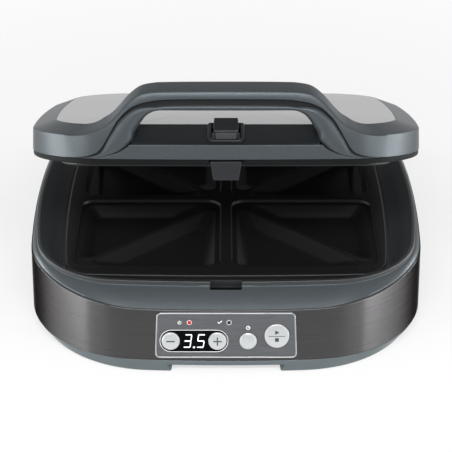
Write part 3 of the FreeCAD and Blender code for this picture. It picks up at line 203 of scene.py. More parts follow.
def corner_circle(form, end):
    side_x = form["half_width"] - form["side"]
    sign = -1 if end == "front" else 1
    corner, end_r = form[end + "_corner"], form[end + "_r"]
    end_y = form[end] - sign * end_r
    span = math.hypot(side_x, end_y)
    side_r, far_r = form["side"] - corner, end_r - corner
    along = (side_r ** 2 - far_r ** 2 + span ** 2) / (2.0 * span)
    across = math.sqrt(side_r ** 2 - along ** 2)
    ux, uy = -side_x / span, end_y / span
    for turn in (-1, 1):
        x = side_x + along * ux + turn * across * uy
        y = along * uy - turn * across * ux
        if x > 0 and y * sign > 0:
            return (x, y), corner, math.atan2(y, x - side_x), math.atan2(y - end_y, x)


# An outline seen from above is eight tangent arcs, each with its centre, radius, start and end
def plan_arcs(form):
    (fx, fy), f_r, f_side, f_end = corner_circle(form, "front")
    (rx, ry), r_r, r_side, r_end = corner_circle(form, "rear")
    half = math.pi
    side, side_x = form["side"], form["half_width"] - form["side"]
    return [((0.0, form["front"] + form["front_r"]), form["front_r"], -half - f_end, f_end),
            ((fx, fy), f_r, f_end, f_side),
            ((side_x, 0.0), side, f_side, r_side),
            ((rx, ry), r_r, r_side, r_end),
            ((0.0, form["rear"] - form["rear_r"]), form["rear_r"], r_end, half - r_end),
            ((-rx, ry), r_r, half - r_end, half - r_side),
            ((-side_x, 0.0), side, half - r_side, half - f_side),
            ((-fx, fy), f_r, half - f_side, half - f_end)]


FRONT, FRONT_RIGHT, RIGHT, REAR_RIGHT, REAR, REAR_LEFT, LEFT, FRONT_LEFT = range(8)
ARC_STEPS = (44, 24, 22, 24, 36, 24, 22, 24)
ALL_ROUND = [(arc, i / steps) for arc, steps in enumerate(ARC_STEPS) for i in range(steps)]
STATION_GAP = 0.004
X, Y = 0, 1


def plan(form, z, inset=0.0, stations=ALL_ROUND):
    arcs = plan_arcs(form)
    points = []
    for arc, part in stations:
        (cx, cy), radius, start, end = arcs[arc]
        angle = start + (end - start) * part
        reach = radius - inset
        points.append(Vector((cx + reach * math.cos(angle), cy + reach * math.sin(angle), z)))
    return points


def station_at(form, arc, axis, value):
    low, high = 0.0, 1.0
    first, last = plan(form, 0.0, 0.0, [(arc, low), (arc, high)])
    rising = last[axis] > first[axis]
    for _ in range(40):
        middle = (low + high) / 2.0
        if (plan(form, 0.0, 0.0, [(arc, middle)])[0][axis] < value) == rising:
            low = middle
        else:
            high = middle
    return arc, (low + high) / 2.0


def stations_between(first, last):
    picked = [first]
    arc, passed = first
    while True:
        for i in range(ARC_STEPS[arc] + 1):
            part = i / ARC_STEPS[arc]
            if part <= passed + STATION_GAP:
                continue
            if arc == last[0] and part >= last[1] - STATION_GAP:
                return picked + [last]
            if part < 1.0:
                picked.append((arc, part))
        arc = (arc + 1) % len(ARC_STEPS)
        passed = -1.0


def mix_rings(a, b, share_b):
    return [p.lerp(q, share_b) for p, q in zip(a, b)]


SMOOTH_DEG = 38.0


def shade(mesh, smooth_deg=SMOOTH_DEG):
    for face in mesh.polygons:
        face.use_smooth = True
    mesh.set_sharp_from_angle(angle=math.radians(smooth_deg))


def piece_from(name, tidy, smooth_deg):
    mesh = bpy.data.meshes.new(name)
    tidy.to_mesh(mesh)
    tidy.free()
    shade(mesh, smooth_deg)
    return put_in_scene(name, mesh)


def make_piece(name, points, faces, smooth_deg=SMOOTH_DEG):
    rough_mesh = bpy.data.meshes.new(name)
    rough_mesh.from_pydata([tuple(p) for p in points], [], faces)
    tidy = bmesh.new()
    tidy.from_mesh(rough_mesh)
    bpy.data.meshes.remove(rough_mesh)
    bmesh.ops.remove_doubles(tidy, verts=tidy.verts, dist=1e-7)
    bmesh.ops.dissolve_degenerate(tidy, edges=tidy.edges, dist=1e-8)
    bmesh.ops.recalc_face_normals(tidy, faces=tidy.faces)
    return piece_from(name, tidy, smooth_deg)


# Faces between rows of points: wrap closes each row on itself, loop joins the last row to the first
def skin_faces(rows, count, wrap, loop, start=0):
    faces = []
    for r in range(rows if loop else rows - 1):
        a = start + r * count
        b = start + ((r + 1) % rows) * count
        for c in range(count if wrap else count - 1):
            d = (c + 1) % count
            faces.append((a + c, a + d, b + d, b + c))
    if loop and not wrap:
        faces.append([start + r * count for r in range(rows)])
        faces.append([start + r * count + count - 1 for r in range(rows)])
    if wrap and not loop:
        faces.append([start + c for c in range(count)])
        faces.append([start + (rows - 1) * count + c for c in range(count)])
    return faces


def skin(name, rings, wrap=True, loop=True, smooth_deg=SMOOTH_DEG):
    points = [p for ring in rings for p in ring]
    return make_piece(name, points, skin_faces(len(rings), len(rings[0]), wrap, loop), smooth_deg)


def carry(piece, body, slot_name, *nodes):
    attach(piece, body)
    if nodes:
        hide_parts(*nodes)


FLAT_FACE_WEIGHT = 90


def fit(piece, finish, body, slot_name, *nodes):
    piece.data.materials.clear()
    piece.data.materials.append(finish)
    flat = piece.modifiers.new("even_normals", "WEIGHTED_NORMAL")
    flat.keep_sharp = True
    flat.weight = FLAT_FACE_WEIGHT
    carry(piece, body, slot_name, *nodes)


def finish_nodes(finish, *names):
    for node_name in names:
        for slot_row in frame["nodes"][node_name].material_slots:
            slot_row.material = finish


BAND = dict(half_width=0.175, front=-0.190, rear=0.172, side=1.4, front_r=1.157, rear_r=1.328,
            front_corner=0.102, rear_corner=0.078)
FOOT = dict(BAND, half_width=0.1664, front=-0.1935, rear=0.166, front_corner=0.103)
FOOT_LOW = 0.0008
CUT_OUT_TOP = 0.0054
RING_TOP = 0.0088
BAND_LOW = 0.0094
RING_SET_BACK = 0.0006
# Height and inset of the neck under the band, heights down the side, and insets of the underside
RING_NECK = ((BAND_LOW, 0.0011), (RING_TOP, 0.0011), (RING_TOP, 0.0008))
RING_SIDE = (RING_TOP - 0.0003, CUT_OUT_TOP + 0.0006, CUT_OUT_TOP + 0.0002)
RING_UNDER = (0.0024, 0.03)


def pan_side(z, stations=ALL_ROUND):
    low = plan(FOOT, z, 0.0, stations)
    high = plan(BAND, z, RING_SET_BACK, stations)
    return mix_rings(low, high, (z - FOOT_LOW) / (RING_TOP - FOOT_LOW))


ring_rows = [plan(BAND, z, inset) for z, inset in RING_NECK] + [pan_side(z) for z in RING_SIDE]
ring_rows += [plan(BAND, CUT_OUT_TOP, inset) for inset in RING_UNDER]
pan_points = [p for ring in ring_rows for p in ring]
pan_faces = skin_faces(len(ring_rows), len(ALL_ROUND), True, False)

FOOT_ROUND = 0.0012
FOOT_WIDE = 0.024
FOOT_INNER_EDGE = 0.001
FOOT_SEAT = CUT_OUT_TOP + 0.0004
FOOT_SIDE = (FOOT_SEAT, FOOT_LOW + 2.2 * FOOT_ROUND, FOOT_LOW + FOOT_ROUND, FOOT_LOW + 0.3 * FOOT_ROUND)
FOOT_SOLE = ((FOOT_LOW, 0.8 * FOOT_ROUND), (FOOT_LOW, FOOT_WIDE - FOOT_INNER_EDGE),
             (FOOT_LOW + FOOT_INNER_EDGE, FOOT_WIDE), (FOOT_SEAT, FOOT_WIDE))
END_ROUND = 0.0018
END_REACHES = (0.0, 0.0003, 0.0008, END_ROUND)
FRONT_GAP_HALF = 0.046
GAP_HALF = 0.060


# Stations along one foot, closer together at its rounded ends, and how far the sole lifts at each
def foot_run(first, last):
    stations = stations_between(first, last)
    middle = plan(FOOT, 0.0, 0.0, stations)
    walked = [0.0]
    for p, q in zip(middle[:-1], middle[1:]):
        walked.append(walked[-1] + (q - p).length)
    length = walked[-1]
    picked = [(d, s) for d, s in zip(walked, stations) if END_ROUND < d < length - END_ROUND]
    for reach in END_REACHES:
        for target in (reach, length - reach):
            i = max(k for k in range(len(walked) - 1) if walked[k] <= target + 1e-9)
            part = (target - walked[i]) / (walked[i + 1] - walked[i])
            arc, start = stations[i]
            next_arc, end = stations[i + 1]
            end = end if next_arc == arc else 1.0
            picked.append((target, (arc, start + (end - start) * part)))
    picked.sort()
    left = [END_ROUND - min(d, length - d, END_ROUND) for d, _ in picked]
    return [s for _, s in picked], [END_ROUND - math.sqrt(END_ROUND ** 2 - gap ** 2) for gap in left]


foot_runs = [foot_run(station_at(FOOT, FRONT, X, FRONT_GAP_HALF), station_at(FOOT, RIGHT, Y, -GAP_HALF)),
             foot_run(station_at(FOOT, RIGHT, Y, GAP_HALF), station_at(FOOT, REAR, X, GAP_HALF))]
for mirror_x in (1, -1):
    for stations, lifts in foot_runs:
        rows = [pan_side(z, stations) for z in FOOT_SIDE]
        rows += [plan(FOOT, z, inset, stations) for z, inset in FOOT_SOLE]
        for row in rows[1:-1]:
            for p, lift in zip(row, lifts):
                p.z = max(p.z, FOOT_LOW + lift)
        pan_faces += skin_faces(len(rows), len(stations), False, True, len(pan_points))
        pan_points += [Vector((mirror_x * p.x, p.y, p.z)) for row in rows for p in row]
base_pan = make_piece("base_pan_moulding", pan_points, pan_faces)

# Moulded ABS with a fine spark texture: soft grey with a broad sheen
PAN_GRAIN = 0.0006
pale_abs = grained("moulded_abs_pale_grey", "#51595c", 0.34, grain=PAN_GRAIN, relief=0.12)
fit(base_pan, pale_abs, "base", "pale_grey_plastic", "base_pan")

# Rubber pads
# Four black rubber discs pressed into the feet, so that the machine doesn't slide on the counter,
# and the rubber gland of the cord. Moulded rubber looks dull and a little dusty.
RUBBER_DUST = 0.0015
rubber = grained("moulded_black_rubber", "#1b1b1c", 0.85, grain=RUBBER_DUST, detail=3.0,
                 tones=("#151516", "#2a2a2b"))
finish_nodes(rubber, "rubber_feet", "cord_gland")

# Side band
# One strip of dark brushed stainless steel bent round the front and sides, its front leaning back,
# its upper edge following the slope of the top frame and showing as a bright line.
FRONT_LEAN = 15.0
WALL_TOP = 0.070
BAND_HIGH = dict(BAND, front=BAND["front"] + math.tan(math.radians(FRONT_LEAN)) * (WALL_TOP - BAND_LOW))
BAND_SHEET = 0.0006
LIP = dict(half_width=0.1725, front=-0.160, rear=0.160, side=0.626, front_r=1.328, rear_r=1.328,
           front_corner=0.078, rear_corner=0.078)
APRON = dict(half_width=0.1935, front=-0.192, rear=0.185, side=0.650, front_r=1.360, rear_r=1.360,
             front_corner=0.120, rear_corner=0.105)
APRON_LOW = 0.042
LIP_FOOT = 0.065
COVER_HALF = 0.120
CROSSING_STEPS = 24
HEIGHT_SPARE = 0.001


def band_ring(z, stations=ALL_ROUND, inset=0.0):
    share_high = (z - BAND_LOW) / (WALL_TOP - BAND_LOW)
    return mix_rings(plan(BAND, z, inset, stations), plan(BAND_HIGH, z, inset, stations), share_high)


def apron_ring(z, stations=ALL_ROUND):
    share_high = (z - APRON_LOW) / (LIP_FOOT - APRON_LOW)
    return mix_rings(plan(APRON, z, 0.0, stations), plan(LIP, z, 0.0, stations), share_high)


def room_inside(point, ring):
    best = 1.0
    for p, q in zip(ring, ring[1:] + ring[:1]):
        ex, ey = q.x - p.x, q.y - p.y
        best = min(best, (ex * (point.y - p.y) - ey * (point.x - p.x)) / math.hypot(ex, ey))
    return best


# Heights at which one sloping wall passes through another, station by station
def crossing_heights(moving, fixed, stations, starts_inside):
    step = (LIP_FOOT - APRON_LOW) / CROSSING_STEPS
    levels = [APRON_LOW + step * i for i in range(CROSSING_STEPS + 1)]
    fixed_rings = [fixed(z) for z in levels]
    moving_rings = [moving(z, stations) for z in levels]
    heights = []
    for k in range(len(stations)):
        rooms = [room_inside(ring[k], bound) for ring, bound in zip(moving_rings, fixed_rings)]
        found = LIP_FOOT if (rooms[0] > 0) == starts_inside else APRON_LOW
        for z, now, after in zip(levels, rooms, rooms[1:]):
            if now * after < 0:
                found = z + step * now / (now - after)
        heights.append(found)
    return heights


def ring_at_heights(ring_of, heights, stations):
    low, high = min(heights) - HEIGHT_SPARE, max(heights) + HEIGHT_SPARE
    pairs = zip(ring_of(low, stations), ring_of(high, stations), heights)
    return [p.lerp(q, (z - low) / (high - low)) for p, q, z in pairs]


BAND_STATIONS = stations_between(station_at(BAND, REAR_LEFT, X, -COVER_HALF),
                                 station_at(BAND, REAR_RIGHT, X, COVER_HALF))
LOW_ROUND = 0.0003
EDGE_ROUND = 0.0002
inner_wall = partial(band_ring, inset=BAND_SHEET)
outer_top = crossing_heights(band_ring, apron_ring, BAND_STATIONS, True)
inner_top = crossing_heights(inner_wall, apron_ring, BAND_STATIONS, True)
outer_edge = ring_at_heights(band_ring, outer_top, BAND_STATIONS)
inner_edge = ring_at_heights(inner_wall, inner_top, BAND_STATIONS)
band_rows = [band_ring(BAND_LOW, BAND_STATIONS, LOW_ROUND), band_ring(BAND_LOW + LOW_ROUND, BAND_STATIONS)]
for part in (0.25, 0.5, 0.75, 1.0):
    heights = [BAND_LOW + (z - EDGE_ROUND - BAND_LOW) * part for z in outer_top]
    band_rows.append(ring_at_heights(band_ring, heights, BAND_STATIONS))
band_rows += [mix_rings(outer_edge, inner_edge, part) for part in (0.12, 0.35, 1.0)]
band_rows.append(inner_wall(BAND_LOW, BAND_STATIONS))
side_band = skin("side_band_steel", band_rows, wrap=False)

# The control panel has its own frame: x across, y up the slope, z out of the panel
PANEL_TURN = Matrix.Rotation(math.radians(90.0 - FRONT_LEAN), 4, "X")
PANEL_PLACE = Matrix.Translation((0.0, BAND["front"], BAND_LOW)) @ PANEL_TURN
PANEL_CORNERS = [(-0.0600, 0.0028), (0.0600, 0.0028), (0.0583, 0.0425), (-0.0583, 0.0425)]
PANEL_ROUND = 0.004
WINDOW_BACK, WINDOW_FRONT = -0.008, 0.006


def inset_corners(corners, amount):
    sides = []
    for p, q in zip(corners, corners[1:] + corners[:1]):
        along = (Vector(q) - Vector(p)).normalized()
        sides.append((Vector(p) + amount * Vector((-along.y, along.x)), along))
    result = []
    for (a, da), (b, db) in zip(sides[-1:] + sides[:-1], sides):
        t = ((b.x - a.x) * db.y - (b.y - a.y) * db.x) / (da.x * db.y - da.y * db.x)
        result.append((a.x + da.x * t, a.y + da.y * t))
    return result


def rounded(corners, radii, steps=6):
    count = len(corners)
    points = []
    for i in range(count):
        p = Vector(corners[i])
        a = (Vector(corners[i - 1]) - p).normalized()
        b = (Vector(corners[(i + 1) % count]) - p).normalized()
        radius = radii[i] if isinstance(radii, list) else radii
        if radius <= 0.0:
            points.append(p)
            continue
        half = math.acos(max(-1.0, min(1.0, a.dot(b)))) / 2.0
        centre = p + (a + b).normalized() * (radius / math.sin(half))
        start = p + a * (radius / math.tan(half)) - centre
        end = p + b * (radius / math.tan(half)) - centre
        sweep = math.atan2(start.x * end.y - start.y * end.x, start.dot(end))
        points += [centre + Matrix.Rotation(sweep * k / steps, 2) @ start for k in range(steps + 1)]
    return points


def on_panel(points, height):
    return [PANEL_PLACE @ Vector((p[0], p[1], height)) for p in points]


def evaluated_mesh(piece):
    bpy.context.view_layer.update()
    whole = piece.evaluated_get(bpy.context.evaluated_depsgraph_get())
    return bpy.data.meshes.new_from_object(whole)


def swap_mesh(piece, modifier, mesh):
    old = piece.data
    piece.modifiers.remove(modifier)
    piece.data = mesh
    bpy.data.meshes.remove(old)
    mesh.name = piece.name


def cut_out(piece, tool):
    cutter = piece.modifiers.new("cut_out", "BOOLEAN")
    cutter.operation = "DIFFERENCE"
    cutter.solver = "EXACT"
    cutter.object = tool
    swap_mesh(piece, cutter, evaluated_mesh(piece))
    bpy.data.objects.remove(tool)
    shade(piece.data)


window_outline = rounded(PANEL_CORNERS, PANEL_ROUND)
window_rows = [on_panel(window_outline, height) for height in (WINDOW_BACK, WINDOW_FRONT)]
cut_out(side_band, skin("window_tool", window_rows, loop=False))

# Stainless steel, tinted dark and brushed lengthwise: long fine lines that pull highlights upright
BRUSH_LINE = 0.0004
BRUSH_LENGTH = 1.0 / 12.0
steel = grained("brushed_dark_stainless_steel", "#585859", 0.28, 1.0, detail=4.0,
                stretch=(1.0 / BRUSH_LENGTH, 1.0 / BRUSH_LENGTH, 1.0 / BRUSH_LINE),
                tones=("#555455", "#5c5b5c"), tone_ends=(0.3, 0.7), gloss=(0.25, 0.31),
                sockets={"Anisotropic": 0.7, "Anisotropic Rotation": 0.25,
                         "Specular Tint": linear("#574f4b")})
round_way = add_node(steel.node_tree, "ShaderNodeTangent", direction_type="RADIAL", axis="Z")
steel.node_tree.links.new(round_way.outputs[0], steel.node_tree.nodes["Principled BSDF"].inputs["Tangent"])
fit(side_band, steel, "base", "brushed_titanium_steel", "side_band")

# Top frame
# One grey moulding that closes the base: a sloping apron, a narrow raised lip, a dished surround and the
# ledge that the lower plate rests on. A slot in the front takes the hook of the latch.
DISH = dict(half_width=0.1585, front=-0.1506, rear=0.1506, side=0.900, front_r=1.700, rear_r=1.700,
            front_corner=0.052, rear_corner=0.052)
WELL = dict(half_width=0.147, front=-0.145, rear=0.145, side=1.300, front_r=2.500, rear_r=2.500,
            front_corner=0.028, rear_corner=0.028)
COVER_FRONT = 0.161
COVER_PLAY = 0.0002
JOINT_GAP = 0.0003
APRON_SKIRT = 0.006
APRON_SWELL = 0.0009
APRON_PARTS = (0.1, 0.2, 0.3, 0.4, 0.5, 0.6, 0.7, 0.8, 0.9, 0.97)
LIP_TOP = 0.069
LIP_WIDTH = 0.004
LIP_ROUND = 0.0011
LIP_CORNER = 0.0004
LIP_INNER = ((LIP_TOP, LIP_WIDTH - 0.0012), (LIP_TOP - 0.0002, LIP_WIDTH - 0.0004))
DISH_Z = 0.0638
DISH_STEPS = 12
WELL_Z = 0.0615
SEAT_Z = 0.061
SEAT_LOW = 0.0565
LEDGE = 0.006
WELL_WALL = ((SEAT_Z, 0.0002), (SEAT_Z, LEDGE), (SEAT_LOW, LEDGE), (SEAT_LOW, 0.0))


# Inset and drop of the points of a rounded edge, from its upright side to its level top
def quarter_round(radius, first=1, steps=4):
    turns = [math.pi / 2.0 * k / steps for k in range(first, steps + 1)]
    return [(radius * (1.0 - math.cos(turn)), radius * (1.0 - math.sin(turn))) for turn in turns]


def flat_ring(points, z):
    return [Vector((p[0], p[1], z)) for p in points]


inner_room = partial(band_ring, inset=BAND_SHEET + JOINT_GAP)
apron_foot = crossing_heights(apron_ring, inner_room, ALL_ROUND, False)
lip_foot_ring = plan(LIP, LIP_FOOT)
foot_ring = []
for p, q, z in zip(plan(APRON, APRON_LOW), lip_foot_ring, apron_foot):
    rise = (z - APRON_LOW) / (LIP_FOOT - APRON_LOW)
    if abs(q.x) < COVER_HALF and q.y > 0.0:
        rise = max(rise, (COVER_FRONT - COVER_PLAY - p.y) / (q.y - p.y))
    foot_ring.append(p.lerp(q, rise))
frame_rows = [[p - Vector((0.0, 0.0, APRON_SKIRT)) for p in foot_ring], foot_ring]
for part in APRON_PARTS:
    swell = Vector((0.0, 0.0, 4.0 * APRON_SWELL * part * (1.0 - part)))
    frame_rows.append([p + swell for p in mix_rings(foot_ring, lip_foot_ring, part)])
frame_rows += [plan(LIP, LIP_FOOT + LIP_CORNER), plan(LIP, LIP_TOP - LIP_ROUND)]
frame_rows += [plan(LIP, LIP_TOP - drop, inset) for inset, drop in quarter_round(LIP_ROUND)]
frame_rows += [plan(LIP, z, inset) for z, inset in LIP_INNER]
lip_inside = plan(LIP, LIP_TOP, LIP_WIDTH)
well_top = plan(WELL, WELL_Z)
bend = [2.0 * d - (a + b) / 2.0 for d, a, b in zip(plan(DISH, DISH_Z), lip_inside, well_top)]
for k in range(1, DISH_STEPS):
    s = k / DISH_STEPS
    frame_rows.append([(1 - s) ** 2 * a + 2 * s * (1 - s) * c + s ** 2 * b
                       for a, c, b in zip(lip_inside, bend, well_top)])
frame_rows += [well_top] + [plan(WELL, z, inset) for z, inset in WELL_WALL]
top_frame = skin("top_frame_moulding", frame_rows)

SLOT_HALF = 0.0135
SLOT_FRONT, SLOT_REAR = -0.1632, -0.155
SLOT_LOW, SLOT_TOP = 0.030, 0.080
SLOT_ROUND = 0.0006
CATCH_Z = 0.060
CATCH_ROOM = 0.0035


def box_outline(half, near, far):
    return [(-half, near), (half, near), (half, far), (-half, far)]


for rear, top in ((SLOT_REAR, SLOT_TOP), (SLOT_REAR + CATCH_ROOM, CATCH_Z)):
    slot_outline = rounded(box_outline(SLOT_HALF, SLOT_FRONT, rear), SLOT_ROUND, 3)
    slot_rows = [flat_ring(slot_outline, z) for z in (SLOT_LOW, top)]
    cut_out(top_frame, skin("slot_tool", slot_rows, loop=False))

# ABS with a satin metallic paint: dark slate that picks up a pale sheen where it turns away, with the
# faint waves that a sprayed paint dries with
FLAKE = 0.0007
ORANGE_PEEL = 0.0022
slate = grained("satin_slate_metallic_paint", "#464b4e", 0.34, 0.4, grain=FLAKE, tones=("#43484b", "#4a4f52"),
                tone_ends=(0.35, 0.65), gloss=(0.31, 0.37), sockets={"Specular Tint": linear("#8a8f92")})
tree = slate.node_tree
where = tree.nodes["Texture Coordinate"].outputs["Object"]
peel = add_node(tree, "ShaderNodeTexNoise", {"Vector": where, "Scale": 1.0 / ORANGE_PEEL, "Detail": 1.0})
bump = add_node(tree, "ShaderNodeBump",
                {"Height": peel.outputs["Fac"], "Strength": 0.05, "Distance": RELIEF_HEIGHT})
tree.links.new(bump.outputs[0], tree.nodes["Principled BSDF"].inputs["Normal"])
fit(top_frame, slate, "base", "slate_plastic", "top_frame")

# The lip and the dished surround get a near-black finish with a soft shine: painted shade for the shadow that
# the lid throws over them
dish_painted_shade = grained("dish_painted_shade_black", "#272a2c", 0.36, grain=FLAKE, gloss=(0.32, 0.42))
top_frame.data.materials.append(dish_painted_shade)
# Faces above the foot of the lip, and faces inside the lip, take the painted shade
PAINTED_SHADE_LINE = LIP_FOOT + 0.0003
for face in top_frame.data.polygons:
    if face.center.z > PAINTED_SHADE_LINE or room_inside(face.center, lip_inside) > 0.0:
        face.material_index = 1

# Catch, hinge steel and screws
# Pressed steel parts with a zinc plating: the catch in the slot, the hinge brackets, arms and pins,
# and the cross-head screws that hold the shells together. Zinc looks pale and cloudy.
ZINC_CLOUD = 0.004
zinc = grained("zinc_plated_steel", "#a9acae", 0.34, 1.0, grain=ZINC_CLOUD, detail=4.0, gloss=(0.26, 0.44))
finish_nodes(zinc, "latch_catch", "hinge_brackets", "hinge_pins", "bracket_screws", "hinge_arms", "latch_pin",
             "latch_spring", "lower_plate_screws", "upper_plate_screws", "board_screws", "transformer")


# A tree that puts one shape at each of its places: its sizes are floats, its turn a vector
def repeat_tree(name, sizes):
    tree = bpy.data.node_groups.new(name, "GeometryNodeTree")
    kinds = {"Places": "Geometry", **{size: "Float" for size in sizes},
             "Turn": "Vector", "Finish": "Material"}
    for label, kind in kinds.items():
        tree.interface.new_socket(label, in_out="INPUT", socket_type="NodeSocket" + kind)
    tree.interface.new_socket("Pieces", in_out="OUTPUT", socket_type="NodeSocketGeometry")
    return tree, add_node(tree, "NodeGroupInput").outputs


def spread_shape(tree, given, shape):
    spread = add_node(tree, "GeometryNodeInstanceOnPoints",
                      {"Points": given["Places"], "Instance": shape, "Rotation": given["Turn"]})
    real = add_node(tree, "GeometryNodeRealizeInstances", {"Geometry": spread.outputs[0]})
    painted = add_node(tree, "GeometryNodeSetMaterial",
                       {"Geometry": real.outputs[0], "Material": given["Finish"]})
    add_node(tree, "NodeGroupOutput", {"Pieces": painted.outputs[0]})


def grow(name, group, points, values):
    seed_mesh = bpy.data.meshes.new(name)
    seed_mesh.from_pydata([tuple(p) for p in points], [], [])
    piece = put_in_scene(name, seed_mesh)
    maker = piece.modifiers.new("maker", "NODES")
    maker.node_group = group
    keys = {row.name: row.identifier for row in group.interface.items_tree if row.in_out == "INPUT"}
    for label, value in values.items():
        maker[keys[label]] = value
    swap_mesh(piece, maker, evaluated_mesh(piece))
    return piece


HEAD_SIDES = 24
LONG, WIDE = "Recess Length", "Recess Width"
screws, given = repeat_tree("cross_head_screws", ("Head Radius", "Head Height", LONG, WIDE, "Recess Depth"))
carved = add_node(screws, "GeometryNodeMeshCylinder", {"Vertices": HEAD_SIDES, "Radius": given["Head Radius"],
                                                       "Depth": given["Head Height"]}).outputs["Mesh"]
low_face = add_node(screws, "ShaderNodeMath", {0: given["Head Height"], 1: -0.5}, operation="MULTIPLY")
down = add_node(screws, "ShaderNodeCombineXYZ", {"Z": low_face.outputs[0]}).outputs[0]
for across, along in ((LONG, WIDE), (WIDE, LONG)):
    size = add_node(screws, "ShaderNodeCombineXYZ",
                    {"X": given[across], "Y": given[along], "Z": given["Recess Depth"]}).outputs[0]
    bar = add_node(screws, "GeometryNodeMeshCube", {"Size": size}).outputs["Mesh"]
    sunk = add_node(screws, "GeometryNodeTransform", {"Geometry": bar, "Translation": down}).outputs[0]
    carved = add_node(screws, "GeometryNodeMeshBoolean", {"Mesh 1": carved, "Mesh 2": sunk},
                      operation="DIFFERENCE").outputs["Mesh"]
spread_shape(screws, given, carved)


def solids_of(node_name):
    tidy = bmesh.new()
    tidy.from_mesh(frame["nodes"][node_name].data)
    bmesh.ops.remove_doubles(tidy, verts=tidy.verts, dist=1e-6)
    left = set(tidy.verts)
    solids = []
    while left:
        front = [left.pop()]
        island = list(front)
        while front:
            vert = front.pop()
            near = {edge.other_vert(vert) for edge in vert.link_edges} & left
            left -= near
            front += near
            island += near
        solids.append([v.co.copy() for v in island])
    tidy.free()
    return solids


lid_joint = next(j for j in frame["joints"] if j["name"] == "lid_hinge")
HINGE = Vector(lid_joint["pos_m"])
CLOSED_TURN = math.radians(lid_joint["range_deg"][0])
TURN_OPEN = Matrix.Translation(HINGE) @ Matrix.Rotation(CLOSED_TURN, 4, "X") @ Matrix.Translation(-HINGE)
# Body, head radius and head height of each group of screws
SCREW_HEADS = {"base_screws": ("base", 0.0035, 0.0024), "lid_screws": ("lid", 0.0033, 0.0020),
               "handle_screws": ("lid", 0.0033, 0.0020), "hinge_arm_screws": ("lid", 0.0030, 0.0018)}
RECESS_LONG, RECESS_WIDE = 1.1, 0.28
for node_name, (body, radius, height) in SCREW_HEADS.items():
    to_rest = TURN_OPEN if body == "lid" else Matrix.Identity(4)
    to_flat = to_rest.inverted()
    places = []
    for solid in solids_of(node_name):
        xs, ys, zs = zip(*(to_flat @ p for p in solid))
        middle = Vector(((min(xs) + max(xs)) / 2, (min(ys) + max(ys)) / 2, min(zs) + height / 2))
        places.append(to_rest @ middle)
    heads = grow(node_name + "_heads", screws, places,
                 {"Head Radius": radius, "Head Height": height, LONG: radius * RECESS_LONG,
                  WIDE: radius * RECESS_WIDE, "Recess Depth": height,
                  "Turn": (CLOSED_TURN if body == "lid" else 0.0, 0.0, 0.0), "Finish": zinc})
    carry(heads, body, "zinc_steel", node_name)

# Heating and electric parts
# Tubular elements, reflector trays, thermostat, boards and their parts sit inside the shells and
# only show when the machine is taken apart.

# Steel tube that has been red hot: brown and blue clouds of oxide
HEAT_CLOUD = 0.012
element = grained("oxidised_steel_tube", "#4d4a48", 0.5, 1.0, grain=HEAT_CLOUD, detail=3.0,
                  tones=("#3f3e42", "#5d5650"))
finish_nodes(element, "lower_heater", "upper_heater")

# Aluminium sheet as rolled: bright, with streaks along the roll
ROLL_LINE, ROLL_LENGTH = 1.0 / 900.0, 1.0 / 30.0
bright = grained("mill_finish_aluminium_sheet", "#c3c5c6", 0.3, 1.0,
                 stretch=(1.0 / ROLL_LINE, 1.0 / ROLL_LENGTH, 1.0 / ROLL_LINE), gloss=(0.22, 0.4))
finish_nodes(bright, "lower_reflector", "upper_reflector")

# Pressed and fired ceramic: chalky and off-white
CERAMIC_GRAIN = 0.001
ceramic = grained("pressed_steatite_ceramic", "#dedbd0", 0.6, grain=CERAMIC_GRAIN, relief=0.1)
finish_nodes(ceramic, "thermal_cutout", "lid_thermostat", "terminal_block")

# Glass cloth in epoxy under a green lacquer: the weave shows through as small cells
GLASS_WEAVE = 0.0012
laminate, tree, shader, where = surface("lacquered_glass_epoxy", "#1f5a3a", 0.35)
weave = add_node(tree, "ShaderNodeTexVoronoi", {"Vector": where, "Scale": 1.0 / GLASS_WEAVE})
tone = add_node(tree, "ShaderNodeValToRGB", {"Fac": weave.outputs["Distance"]})
tone.color_ramp.elements[0].color = linear("#1b5233")
tone.color_ramp.elements[1].color = linear("#256844")
tree.links.new(tone.outputs[0], shader.inputs["Base Color"])
finish_nodes(laminate, "control_board", "power_board")

# Cooking plates
# Two pressure-cast aluminium plates with a black non-stick coating, each with four square pockets.
# A diagonal ridge splits each pocket in two sloping cups that press and seal along their edges.
PLATE_TOP = 0.065
PLATE_GAP = 0.0005
PLATE_SEAT = SEAT_Z + 0.0002
PLATE_INSET = 0.0024
PLATE_FLANGE = 0.003
PLATE_EDGE = 0.0014
CAST_WALL = 0.0028
POCKET_INNER = 0.005
POCKET_X, POCKET_Y = 0.133, 0.126
POCKET_ROUND = 0.012
POCKET_EDGE = 0.0013
STEP_Z = PLATE_TOP - 0.003
CUP_Z = PLATE_TOP - 0.012
RIDGE_HALF = 0.002
CUP_MARGIN = 0.003
CUP_SLOPE = 0.009
CUP_ROUND = 0.0065
PLATE_SMOOTH_DEG = 40.0
# Inset and height down the side of a cup, with its upper edge and its floor eased
CUP_SIDE = ((-0.0009, STEP_Z), (-0.0003, STEP_Z - 0.0001), (0.0004, STEP_Z - 0.0006),
            (0.0012, STEP_Z - 0.0014), (CUP_SLOPE - 0.0012, CUP_Z + 0.0016),
            (CUP_SLOPE - 0.0004, CUP_Z + 0.0008), (CUP_SLOPE + 0.0006, CUP_Z + 0.0002),
            (CUP_SLOPE + 0.0016, CUP_Z))


def fill_between(tidy, loops):
    edges = []
    for loop in loops:
        for a, b in zip(loop, loop[1:] + loop[:1]):
            edges.append(tidy.edges.get((a, b)) or tidy.edges.new((a, b)))
    bmesh.ops.triangle_fill(tidy, edges=edges, use_beauty=True)


def add_rings(tidy, rings):
    rows = [[tidy.verts.new(p) for p in ring] for ring in rings]
    for low_row, high_row in zip(rows[:-1], rows[1:]):
        for i in range(len(low_row)):
            j = (i + 1) % len(low_row)
            tidy.faces.new((low_row[i], low_row[j], high_row[j], high_row[i]))
    return rows[0], rows[-1]


